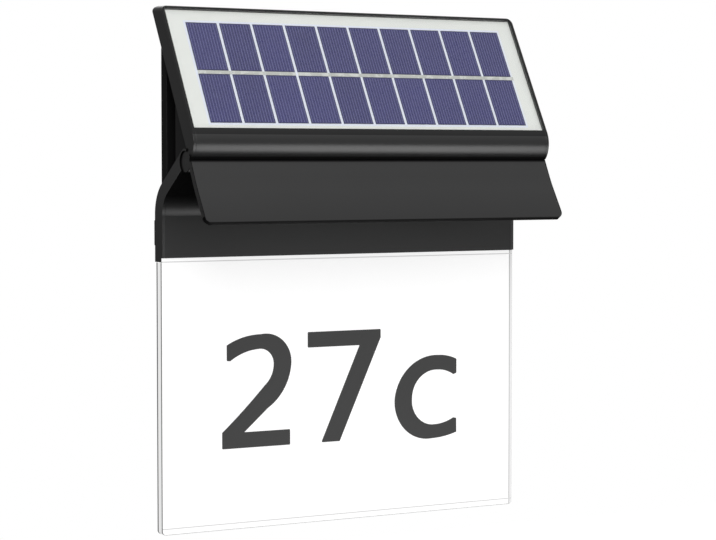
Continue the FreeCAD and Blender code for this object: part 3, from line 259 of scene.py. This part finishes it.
class Recipe:
    """One procedural material, built from named steps."""

    def __init__(self, name):
        self.material = bpy.data.materials.new(name)
        self.material.use_nodes = True
        self.tree = self.material.node_tree
        self.shader = self.tree.nodes["Principled BSDF"]
        self.place = self.add("ShaderNodeTexCoord").outputs["Object"]

    def add(self, kind, inputs=None, **settings):
        node = self.tree.nodes.new(kind)
        for key, value in settings.items():
            setattr(node, key, value)
        for key, value in (inputs or {}).items():
            self.put(node.inputs[key], value)
        return node

    def put(self, socket, value):
        if isinstance(value, bpy.types.NodeSocket):
            self.tree.links.new(value, socket)
        else:
            socket.default_value = value

    def finish(self, **inputs):
        """Sets the main shader's sockets. Two words are joined by an underscore."""
        for key, value in inputs.items():
            self.put(self.shader.inputs[key.replace("_", " ")], value)
        return self.material

    def calc(self, operation, *values):
        node = self.add("ShaderNodeMath", operation=operation)
        for socket, value in zip(node.inputs, values):
            self.put(socket, value)
        return node.outputs[0]

    def times(self, first, second):
        return self.calc("MULTIPLY", first, second)

    def less(self, first, second):
        return self.calc("SUBTRACT", first, second)

    def most(self, *values):
        chosen = values[0]
        for value in values[1:]:
            chosen = self.calc("MAXIMUM", chosen, value)
        return chosen

    def distance(self, first, second):
        square = self.calc("ADD", self.times(first, first), self.times(second, second))
        return self.calc("SQRT", square)

    def past(self, value, limit):
        """1 where the value is over the limit, and 0 elsewhere."""
        return self.calc("GREATER_THAN", value, limit)

    def near(self, value, place, reach):
        """1 where the value is this near to the place, and 0 elsewhere."""
        return self.calc("LESS_THAN", self.calc("ABSOLUTE", self.less(value, place)), reach)

    def blend(self, factor, first, second):
        node = self.add("ShaderNodeMix", data_type="RGBA")
        for index, value in ((0, factor), (6, first), (7, second)):
            self.put(node.inputs[index], value)
        return node.outputs[2]

    def spread(self, factor, low, high):
        """A number between two limits, by a factor from 0 to 1."""
        node = self.add("ShaderNodeMapRange", {"Value": factor, "To Min": low, "To Max": high})
        return node.outputs[0]

    def fade(self, value, whole, none):
        """From 1 where the value is at the first limit to 0 at the second."""
        node = self.add("ShaderNodeMapRange", {"Value": value, "From Min": whole, "From Max": none,
                                               "To Min": 1.0, "To Max": 0.0})
        return node.outputs[0]

    def noise(self, size, detail=2.0, where=None):
        """Cloudy noise whose features are about this size."""
        node = self.add("ShaderNodeTexNoise", {"Vector": where or self.place, "Scale": 1.0 / size,
                                               "Detail": detail})
        return node.outputs["Fac"]

    def relief(self, height, depth, strength=1.0, edge=0.0003):
        """A bump over softly rounded edges."""
        rounded = self.add("ShaderNodeBevel", {"Radius": edge}, samples=6)
        node = self.add("ShaderNodeBump", {"Height": height, "Distance": depth,
                                           "Strength": strength, "Normal": rounded.outputs[0]})
        return node.outputs[0]

    def along(self, angle=0.0):
        """The place's three numbers, turned about X into the head's own directions."""
        turned = self.add("ShaderNodeMapping", {"Vector": self.place, "Rotation": (-angle, 0, 0)})
        split = self.add("ShaderNodeSeparateXYZ", {"Vector": turned.outputs[0]})
        return split.outputs[0], split.outputs[1], split.outputs[2]


def grey(level):
    return (level, level, level, 1.0)


def tinted(colour, factor):
    """A colour made darker or lighter."""
    return (*(min(1.0, part * factor) for part in colour[:3]), 1.0)


def clouded(recipe, colour, vary):
    """A colour with broad changes of tone."""
    broad = recipe.noise(BROAD, 3.0)
    return recipe.blend(broad, tinted(colour, 1 - vary), tinted(colour, 1 + vary))


def grained(name, colour, size, depth, roughness, vary=0.12, edge=0.0003, **inputs):
    """A finish with a fine grain, broad changes of tone, and gloss that changes with them."""
    recipe = Recipe(name)
    tone = clouded(recipe, colour, vary)
    grain = recipe.noise(size, 3.0)
    gloss = recipe.spread(grain, roughness - ROUGH_SPREAD, roughness + ROUGH_SPREAD)
    return recipe.finish(Base_Color=tone, Roughness=gloss,
                         Normal=recipe.relief(grain, depth, 0.5, edge), **inputs)


def coat_with_painted_light(recipe, settings, painted_shade, edge=0.0003, painted_light=0.0, dull=0.0):
    """The powder coat: matt and darker under painted shade, lighter under painted light, and with
    less shine where it is dull."""
    tone = clouded(recipe, settings.coat, 0.12)
    grain = recipe.noise(settings.grain, 3.0)
    # Painted light lifts the tone on the cap ends; painted shade darkens the coat and makes it
    # matt.
    lifted = recipe.blend(painted_light, tone, tinted(settings.coat, LIT_TONE))
    toned = recipe.blend(painted_shade, lifted, tinted(settings.coat, SHADE_TONE))
    rough = recipe.most(recipe.spread(grain, *COAT_ROUGH), recipe.times(painted_shade, SHADE_ROUGH))
    index = recipe.spread(recipe.most(painted_shade, dull), *COAT_INDEX)
    return recipe.finish(Base_Color=toned, Roughness=rough, IOR=index,
                         Normal=recipe.relief(grain, 0.00001, 0.5, edge))


def crease_shade(recipe, reach):
    """The shade of the crease under the nose, and the place's height out of the panel."""
    _, up, out = recipe.along(HEAD_ANGLE)
    off = recipe.distance(recipe.less(up, CREASE[0]), recipe.less(out, CREASE[1]))
    return recipe.fade(off, *reach), out


def housing_coat(settings):
    """Painted shade where the nose rolls under into the crease, and less shiny round the glass."""
    recipe = Recipe("housing_coat")
    shade, out = crease_shade(recipe, CREASE_REACH)
    front = recipe.past(out, HOUSING_FACE - SKIN)
    return coat_with_painted_light(recipe, settings, shade, dull=recipe.times(front, FRONT_DULL))


def arm_coat(settings):
    """Painted shade, matt and dark, on the arm above the bend."""
    recipe = Recipe("arm_coat")
    _, _, up = recipe.along()
    return coat_with_painted_light(recipe, settings, recipe.fade(up, *ARM_REACH), dull=ARM_DULL)


def cap_coat(settings):
    """Above the bend, painted shade on the end caps' edges and painted light on their ends."""
    recipe = Recipe("cap_coat")
    across, _, up = recipe.along()
    end = recipe.past(recipe.calc("ABSOLUTE", across), PLATE_SIDE - PLATE_SKIN)
    above = recipe.fade(up, *ARM_REACH)
    # Painted shade on the edges above the bend, and painted light on the ends above it.
    edges = recipe.times(above, recipe.less(1.0, end))
    return coat_with_painted_light(recipe, settings, edges, CAP_EDGE, recipe.times(above, end))


def visor_coat(settings):
    """Painted shade in the crease, on the visor's tip and round corners, and on the edges of its
    ends, and duller towards the tip."""
    recipe = Recipe("visor_coat")
    across, down, out = recipe.along(VISOR_WAY)
    aside = recipe.calc("ABSOLUTE", across)
    # Painted shade on the tip, the bands at the ends, the round corners and the crease.
    tip = recipe.times(recipe.past(down, VISOR_TIP - TIP_EDGE), TIP_SHADE)
    ends = recipe.near(aside, HEAD_SIDE - SKIN, BAND_HALF)
    corner = recipe.times(recipe.past(down, VISOR_TIP - VISOR_CORNER),
                          recipe.past(aside, HEAD_SIDE - VISOR_CORNER + SKIN))
    rounded = recipe.times(corner, recipe.near(out, VISOR_MIDDLE, VISOR_HALF))
    shade, _ = crease_shade(recipe, VISOR_REACH)
    painted_shade = recipe.most(tip, ends, recipe.times(rounded, TIP_SHADE), shade)
    lower = recipe.fade(down, VISOR_TIP, VISOR_TIP - TIP_DULL)
    return coat_with_painted_light(recipe, settings, painted_shade, VISOR_EDGE, dull=recipe.times(lower, VISOR_DULL))


def bracket_coat(settings):
    """Painted shade on the wall plate's side edges."""
    recipe = Recipe("bracket_coat")
    across, _, _ = recipe.along()
    # Painted shade on the side edges.
    edge = recipe.past(recipe.calc("ABSOLUTE", across), BRACKET_SIDE - SKIN)
    return coat_with_painted_light(recipe, settings, recipe.times(edge, BRACKET_SHADE), dull=BRACKET_DULL)


def brushed_steel(settings):
    recipe = Recipe("brushed_steel")
    stretched = recipe.add("ShaderNodeMapping", {"Vector": recipe.place, "Scale": (1, 12, 12)})
    brush = recipe.noise(0.0015, 4.0, stretched.outputs[0])
    tone = recipe.blend(brush, (0.42, 0.42, 0.44, 1), (0.62, 0.62, 0.64, 1))
    return recipe.finish(Base_Color=tone, Metallic=1.0, Roughness=recipe.spread(brush, 0.25, 0.45),
                         Normal=recipe.relief(brush, 0.00001))


def acrylic_plate(settings):
    """White where the sheet lies behind it, with narrow grey lines where its faces meet, where the
    clear rim begins and a little below the lower body's lip. Its rounded side edges and the part
    inside the lower body's mouth are darkened as painted shade."""
    recipe = Recipe("acrylic_plate")
    across, depth, up = recipe.along()
    beyond = recipe.less(recipe.calc("ABSOLUTE", across), PLATE_SIDE - PLATE_CORNER)
    below = recipe.less(PLATE_LOW + PLATE_CORNER, up)
    reach = recipe.distance(recipe.most(beyond, 0.0), recipe.most(below, 0.0))
    side = recipe.past(reach, PLATE_CORNER - PLATE_SKIN)
    facing = recipe.less(1.0, side)
    middle = recipe.near(depth, PLATE_MIDDLE, PLATE_HALF - SIDE_LINE)
    corner = recipe.times(side, recipe.less(1.0, middle))
    # Painted shade on the rounded side edges and on the part inside the lower body's mouth.
    plate_shade = recipe.most(corner, recipe.past(up, PLATE_MOUTH - SKIN))
    rim = recipe.times(recipe.past(across, RIM_SIDE), facing)
    upright = recipe.near(across, RIM_SIDE, RIM_HALF)
    level = recipe.most(recipe.near(up, SHEET_LOW, SHEET_HALF),
                        recipe.near(up, MOUTH_LINE, MOUTH_HALF),
                        recipe.calc("LESS_THAN", up, FOOT_LINE))
    lines = recipe.times(level, facing)
    cloud = recipe.noise(0.02, 2.0)
    tone = recipe.blend(cloud, tinted(settings.plate, 0.99), tinted(settings.plate, 1.0))
    tone = recipe.blend(lines, tone, tinted(settings.plate, LINE_TONE))
    tone = recipe.blend(plate_shade, tone, tinted(settings.plate, CORNER_TONE))
    # The lit plate's own glow, also raised to wash out the shade the head casts on the plate.
    glow = recipe.blend(side, grey(FRONT_GLOW), grey(SIDE_GLOW))
    glow = recipe.blend(rim, glow, grey(RIM_GLOW))
    glow = recipe.blend(upright, glow, grey(UPRIGHT_GLOW))
    glow = recipe.blend(lines, glow, grey(LINE_GLOW))
    glow = recipe.blend(plate_shade, glow, grey(CORNER_GLOW))
    return recipe.finish(Base_Color=tone, Roughness=0.12, IOR=1.25, Emission_Color=glow,
                         Emission_Strength=settings.plate_glow,
                         Normal=recipe.relief(cloud, 0.00001, 0.3, 0.0004))


def white_sheet(settings):
    return grained("white_sheet", settings.border, 0.0008, 0.00001, 0.55, 0.02)


def foil(settings):
    return grained("numeral_foil", settings.foil, 0.0005, 0.00001, 0.5, 0.06, edge=0.0001)


def rubber(settings):
    return grained("soft_rubber", (0.02, 0.02, 0.02), 0.0005, 0.00002, 0.75)


def black_plastic(settings):
    return grained("black_plastic", (0.036, 0.036, 0.037), 0.0006, 0.00003, 0.48)


def cover_plastic(settings):
    return grained("cover_plastic", (0.008, 0.008, 0.0085), 0.0007, 0.00004, 0.5, IOR=1.4)


def lead_jacket(settings):
    return grained("lead_jacket", (0.018, 0.018, 0.018), 0.0006, 0.00002, 0.55)


def washer_nylon(settings):
    return grained("washer_nylon", (0.02, 0.02, 0.02), 0.0006, 0.00001, 0.5, 0.03)


def button_rubber(settings):
    return grained("button_rubber", (0.035, 0.035, 0.035), 0.0004, 0.00002, 0.65)


def panel_glass(settings):
    """Clear flat glass: what lies behind it shows through, under a reflection on the outside."""
    recipe = Recipe("panel_glass")
    ripple = recipe.noise(0.04, 1.0)
    normal = recipe.add("ShaderNodeBump", {"Height": ripple, "Distance": 0.00002, "Strength": 0.2})
    clear = recipe.add("ShaderNodeBsdfTransparent", {"Color": (0.985, 0.992, 0.99, 1)})
    shine = recipe.add("ShaderNodeBsdfGlossy", {"Color": (1, 1, 1, 1), "Roughness": 0.05,
                                                "Normal": normal.outputs[0]})
    edge = recipe.add("ShaderNodeFresnel", {"IOR": 1.5, "Normal": normal.outputs[0]})
    outside = recipe.less(1.0, recipe.add("ShaderNodeNewGeometry").outputs["Backfacing"])
    mixed = recipe.add("ShaderNodeMixShader", {0: recipe.times(edge.outputs[0], outside),
                                               1: clear.outputs[0], 2: shine.outputs[0]})
    output = recipe.tree.nodes["Material Output"]
    recipe.put(output.inputs["Surface"], mixed.outputs[0])
    recipe.tree.nodes.remove(recipe.shader)
    return recipe.material


def beyond_cell(recipe):
    """How far a place on the panel lies outside the nearest cell (negative inside it), and the
    cell's number."""
    across, up, _ = recipe.along(HEAD_ANGLE)
    gaps, numbers = [], []
    for place, start, pitch, length, count in (
            (across, CELL_LEFT, COLUMN_PITCH, CELL_WIDE, COLUMNS),
            (up, CELL_LOW, ROW_PITCH, CELL_HIGH, ROWS)):
        middle = recipe.less(place, start + length / 2)
        number = recipe.calc("ROUND", recipe.calc("DIVIDE", middle, pitch))
        number = recipe.calc("MINIMUM", recipe.most(number, 0.0), count - 1.0)
        off = recipe.less(middle, recipe.times(number, pitch))
        gaps.append(recipe.less(recipe.calc("ABSOLUTE", off), length / 2))
        numbers.append(number)
    number = recipe.calc("ADD", numbers[0], recipe.times(numbers[1], ROW_STEP))
    return recipe.most(*gaps), number


def panel_backsheet(settings):
    """Cream white sheet, bluish white close to the cells."""
    recipe = Recipe("panel_backsheet")
    distance, _ = beyond_cell(recipe)
    halo = recipe.calc("LESS_THAN", distance, CELL_HALO)
    cloud = recipe.noise(0.02, 3.0)
    cream = recipe.blend(cloud, tinted(settings.border, 0.97), tinted(settings.border, 1.03))
    tone = recipe.blend(halo, cream, (0.88, 0.90, 1.0, 1))
    weave = recipe.noise(0.0008, 2.0)
    return recipe.finish(Base_Color=tone, Roughness=0.5, Normal=recipe.relief(weave, 0.00001))


def solar_silicon(settings):
    """Dark violet silicon, uneven from cell to cell, with a thin darker edge."""
    recipe = Recipe("solar_silicon")
    distance, number = beyond_cell(recipe)
    chance = recipe.add("ShaderNodeTexWhiteNoise", {"W": number}, noise_dimensions="1D")
    edge = recipe.past(distance, -CELL_EDGE)
    cloud = recipe.noise(0.012, 3.0)
    shade = recipe.calc("ADD", recipe.times(chance.outputs["Value"], 0.4),
                        recipe.times(cloud, 0.6))
    body = recipe.blend(shade, *(tinted(settings.cell, tone) for tone in CELL_TONES))
    toned = recipe.blend(edge, body, tinted(settings.cell, EDGE_TONE))
    grain = recipe.noise(0.0006, 2.0)
    return recipe.finish(Base_Color=toned, Roughness=recipe.spread(grain, 0.22, 0.34),
                         Normal=recipe.relief(grain, 0.00001, 0.3, 0.0001))


def silver_print(settings):
    recipe = Recipe("silver_print")
    grain = recipe.noise(0.0006, 2.0)
    tone = recipe.blend(grain, (0.19, 0.19, 0.41, 1), (0.28, 0.28, 0.54, 1))
    return recipe.finish(Base_Color=tone, Roughness=0.5, Normal=recipe.relief(grain, 0.00001))


def tinned_ribbon(settings):
    """Flat strip with uneven solder."""
    recipe = Recipe("tinned_ribbon")
    blot = recipe.noise(0.004, 4.0)
    fine = recipe.noise(0.0008, 3.0)
    sharp = recipe.spread(recipe.past(blot, 0.52), 0.25, 0.85)
    mottle = recipe.calc("ADD", recipe.times(sharp, 0.5), recipe.times(blot, 0.5))
    tone = recipe.blend(mottle, (0.50, 0.50, 0.46, 1), (0.86, 0.86, 0.84, 1))
    return recipe.finish(Base_Color=tone, Metallic=0.15, Roughness=recipe.spread(fine, 0.3, 0.6),
                         Normal=recipe.relief(blot, 0.0002, 0.7, 0.0001))


def circuit_board(settings):
    """Green solder resist over a faint grid of tracks."""
    recipe = Recipe("circuit_board")
    tracks = recipe.add("ShaderNodeTexBrick", {"Vector": recipe.place, "Scale": 180.0,
                                               "Color1": (0.01, 0.10, 0.04, 1),
                                               "Color2": (0.012, 0.12, 0.05, 1),
                                               "Mortar": (0.03, 0.20, 0.09, 1)})
    grain = recipe.noise(0.001, 2.0)
    return recipe.finish(Base_Color=tracks.outputs[0], Roughness=recipe.spread(grain, 0.25, 0.35),
                         Normal=recipe.relief(tracks.outputs[1], 0.00002))


def led_lens(settings):
    recipe = Recipe("led_lens")
    cloud = recipe.noise(0.001, 2.0)
    tone = recipe.blend(cloud, (0.80, 0.55, 0.12, 1), (0.95, 0.75, 0.3, 1))
    return recipe.finish(Base_Color=tone, Roughness=0.3,
                         Emission_Color=(1.0, 0.93, 0.8, 1), Emission_Strength=2.0,
                         Normal=recipe.relief(cloud, 0.00001))


def battery_wrap(settings):
    """Shrink wrap with a paler band at each end."""
    recipe = Recipe("battery_wrap")
    across, _, _ = recipe.along()
    inward = recipe.calc("PINGPONG", recipe.less(across, BATTERY_LEFT), BATTERY_HALF)
    end = recipe.calc("LESS_THAN", inward, BATTERY_BAND)
    wrinkle = recipe.noise(0.004, 3.0)
    tone = recipe.blend(end, (0.03, 0.16, 0.06, 1), grey(0.5))
    return recipe.finish(Base_Color=tone, Roughness=recipe.spread(wrinkle, 0.25, 0.4),
                         Normal=recipe.relief(wrinkle, 0.00005))


FINISHES = {
    cap_coat: ("body_cap_left", "body_cap_right"),
    arm_coat: ("lower_body",),
    housing_coat: ("solar_housing", "housing_cap_left", "housing_cap_right"),
    visor_coat: ("visor",),
    bracket_coat: ("wall_plate", "hinge_lug_left", "hinge_lug_right"),
    brushed_steel: ("hang_studs", "lug_screws", "clamp_screws", "pivot_pins", "cover_screws",
                    "battery_contacts"),
    acrylic_plate: ("light_guide",),
    white_sheet: ("reflector_sheet",),
    panel_backsheet: ("backsheet",),
    foil: ("numeral_two", "numeral_seven", "letter_c"),
    rubber: ("wall_pads", "plate_seal", "glass_seal", "cover_gasket", "board_pads", "button_seal"),
    black_plastic: ("bore_plugs", "battery_holder", "board_components", "mode_switch"),
    cover_plastic: ("battery_cover",),
    lead_jacket: ("body_lead", "head_lead", "battery_leads", "switch_leads"),
    washer_nylon: ("friction_washers",),
    button_rubber: ("mode_button",),
    panel_glass: ("cover_glass",),
    solar_silicon: ("solar_cells",),
    tinned_ribbon: ("cell_ribbons", "panel_tails"),
    circuit_board: ("led_board", "control_board", "switch_board"),
    led_lens: ("led_chips",),
    battery_wrap: ("battery_cells",),
}


def dress(thing, material):
    thing.data.materials.clear()
    thing.data.materials.append(material)


# ---------------------------------------------------------------- pieces

def head_matrix():
    """From the head's own directions to the sign's."""
    return Matrix.Rotation(HEAD_ANGLE, 4, "X")


def object_from(shape, name, material):
    """Turns a bmesh into an object with a material."""
    mesh = bpy.data.meshes.new(name)
    shape.to_mesh(mesh)
    shape.free()
    thing = bpy.data.objects.new(name, mesh)
    bpy.context.scene.collection.objects.link(thing)
    dress(thing, material)
    return thing


def piece_from(mesh_maker, name, body, material):
    """Makes an object at the origin from a bmesh, and puts it on its body."""
    shape = bmesh.new()
    mesh_maker(shape)
    thing = object_from(shape, name, material)
    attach(thing, body)


def add_bar(shape, centre, sizes):
    made = bmesh.ops.create_cube(shape, size=1.0)
    bmesh.ops.scale(shape, vec=sizes, verts=made["verts"])
    bmesh.ops.translate(shape, vec=centre, verts=made["verts"])


class SIGN_OT_finishes(Operator):
    """Gives every part of the sign its finish"""
    bl_idname = "sign.finishes"
    bl_label = "Apply Finishes"

    def execute(self, context):
        settings = context.scene.sign_finishes
        for make, nodes in FINISHES.items():
            material = make(settings)
            for node in nodes:
                dress(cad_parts[node], material)
        left = set(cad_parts) - {node for nodes in FINISHES.values() for node in nodes}
        if left:
            raise RuntimeError("parts without a finish: " + ", ".join(sorted(left)))
        return {"FINISHED"}


class SIGN_OT_contact_fingers(Operator):
    """Prints the fine contact lines on the solar cells"""
    bl_idname = "sign.contact_fingers"
    bl_label = "Add Contact Fingers"

    def execute(self, context):
        details = context.scene.sign_details

        def fingers(shape):
            for row in range(ROWS):
                middle = CELL_LOW + row * ROW_PITCH + CELL_HIGH / 2
                for column in range(COLUMNS):
                    left = CELL_LEFT + column * COLUMN_PITCH
                    for index in range(details.fingers):
                        across = left + CELL_WIDE * (index + 0.5) / details.fingers
                        add_bar(shape, (across, middle, CELL_FACE + FINGER_THICK / 2),
                                (details.finger_width, CELL_HIGH - FINGER_STOP, FINGER_THICK))
            bmesh.ops.transform(shape, matrix=head_matrix(), verts=shape.verts)

        piece_from(fingers, "contact_fingers", "head",
                   silver_print(context.scene.sign_finishes))
        return {"FINISHED"}


class SIGN_OT_stage(Operator):
    """Sets up the floor, the lights, the sky and the camera"""
    bl_idname = "sign.stage"
    bl_label = "Set Up Studio"

    def execute(self, context):
        studio = context.scene.sign_studio
        scene = context.scene
        scene.view_settings.view_transform = "Standard"
        make_floor(studio)
        make_sky(scene)
        low, high = Vector(cad_box[0]), Vector(cad_box[1])
        centre = (low + high) / 2
        softbox("key_light", centre + KEY_PLACE, centre, KEY_SIZE, studio.key)
        softbox("low_light", NOSE + LOW_PLACE, NOSE, LOW_SIZE, studio.low)
        softbox("back_light", centre + BACK_PLACE, centre, BACK_SIZE, studio.back)
        camera = bpy.data.objects.new("camera", bpy.data.cameras.new("camera"))
        scene.collection.objects.link(camera)
        camera.data.lens = studio.lens
        camera.data.sensor_width = 36.0
        camera.location = studio.camera_place
        camera.rotation_euler = (math.pi / 2 - studio.camera_dip, 0.0, -studio.camera_turn)
        scene.camera = camera
        return {"FINISHED"}


def softbox(name, place, target, size, level):
    """A rectangular light, wide and high, whose face is this bright, where 1 is white."""
    light = bpy.data.lights.new(name, "AREA")
    light.shape = "RECTANGLE"
    light.size, light.size_y = size
    light.energy = level * math.pi * size[0] * size[1]
    lamp = bpy.data.objects.new(name, light)
    bpy.context.scene.collection.objects.link(lamp)
    lamp.location = place
    lamp.rotation_euler = (target - place).to_track_quat("-Z", "Y").to_euler()
    lamp.visible_camera = False


def make_floor(studio):
    """A dim floor that looks white to the camera."""
    recipe = Recipe("pale_floor")
    cloud = recipe.noise(0.4, 2.0)
    recipe.finish(Base_Color=recipe.blend(cloud, grey(0.10), grey(0.12)), Roughness=0.8)
    ray = recipe.add("ShaderNodeLightPath")
    white = recipe.add("ShaderNodeEmission", {"Color": grey(1.0), "Strength": FLOOR_WHITE})
    lifted = recipe.add("ShaderNodeAddShader", {0: recipe.shader.outputs[0], 1: white.outputs[0]})
    chosen = recipe.add("ShaderNodeMixShader", {0: ray.outputs["Is Camera Ray"],
                                                1: recipe.shader.outputs[0],
                                                2: lifted.outputs[0]})
    recipe.put(recipe.tree.nodes["Material Output"].inputs["Surface"], chosen.outputs[0])
    shape = bmesh.new()
    bmesh.ops.create_grid(shape, x_segments=1, y_segments=1, size=FLOOR_HALF)
    height = cad_box[0][2] - studio.floor_drop
    bmesh.ops.translate(shape, vec=(0, 0, height), verts=shape.verts)
    floor = object_from(shape, "floor", recipe.material)


def make_sky(scene):
    """A soft grey room, bright above and in front, dim behind, and white to the camera."""
    world = bpy.data.worlds.new("studio")
    scene.world = world
    world.use_nodes = True
    nodes, links = world.node_tree.nodes, world.node_tree.links
    nodes.clear()
    where = nodes.new("ShaderNodeTexCoord")
    split = nodes.new("ShaderNodeSeparateXYZ")
    links.new(where.outputs["Generated"], split.inputs[0])

    def ramp(socket, stops):
        lift = nodes.new("ShaderNodeMapRange")
        lift.inputs["From Min"].default_value = -1.0
        links.new(socket, lift.inputs["Value"])
        made = nodes.new("ShaderNodeValToRGB")
        links.new(lift.outputs[0], made.inputs[0])
        while len(made.color_ramp.elements) < len(stops):
            made.color_ramp.elements.new(0.5)
        for element, (position, level) in zip(made.color_ramp.elements, stops):
            element.position = position
            element.color = grey(level)
        return made.outputs[0]

    height = ramp(split.outputs["Z"], SKY_LEVELS)
    facing = nodes.new("ShaderNodeVectorMath")
    facing.operation = "DOT_PRODUCT"
    links.new(where.outputs["Generated"], facing.inputs[0])
    facing.inputs[1].default_value = SKY_FRONT
    front = ramp(facing.outputs["Value"], SKY_SIDES)
    joined = nodes.new("ShaderNodeVectorMath")
    joined.operation = "MULTIPLY"
    links.new(height, joined.inputs[0])
    links.new(front, joined.inputs[1])
    room = nodes.new("ShaderNodeBackground")
    links.new(joined.outputs[0], room.inputs["Color"])
    white = nodes.new("ShaderNodeBackground")
    white.inputs["Color"].default_value = grey(1.0)
    ray = nodes.new("ShaderNodeLightPath")
    chosen = nodes.new("ShaderNodeMixShader")
    links.new(ray.outputs["Is Camera Ray"], chosen.inputs[0])
    links.new(room.outputs[0], chosen.inputs[1])
    links.new(white.outputs[0], chosen.inputs[2])
    output = nodes.new("ShaderNodeOutputWorld")
    links.new(chosen.outputs[0], output.inputs["Surface"])


# ---------------------------------------------------------------- panel and registration

OPERATORS = (SIGN_OT_finishes, SIGN_OT_contact_fingers, SIGN_OT_stage)


class SIGN_PT_panel(Panel):
    """Lists the steps that dress the sign"""
    bl_label = "House Number Sign"
    bl_idname = "SIGN_PT_panel"
    bl_space_type = "VIEW_3D"
    bl_region_type = "UI"
    bl_category = "House Number"

    def draw(self, context):
        layout = self.layout
        for group in (context.scene.sign_finishes, context.scene.sign_details,
                      context.scene.sign_studio):
            box = layout.box()
            for name in group.__annotations__:
                box.prop(group, name)
        for operator in OPERATORS:
            layout.operator(operator.bl_idname)


GROUPS = (SignFinishes, SignDetails, SignStudio)


def register():
    for item in (*GROUPS, *OPERATORS, SIGN_PT_panel):
        bpy.utils.register_class(item)
    bpy.types.Scene.sign_finishes = PointerProperty(type=SignFinishes)
    bpy.types.Scene.sign_details = PointerProperty(type=SignDetails)
    bpy.types.Scene.sign_studio = PointerProperty(type=SignStudio)


def unregister():
    del bpy.types.Scene.sign_studio
    del bpy.types.Scene.sign_details
    del bpy.types.Scene.sign_finishes
    for item in reversed((*GROUPS, *OPERATORS, SIGN_PT_panel)):
        bpy.utils.unregister_class(item)


def main():
    register()
    bpy.ops.sign.stage()
    bpy.ops.sign.finishes()
    bpy.ops.sign.contact_fingers()


if __name__ == "__main__":
    main()
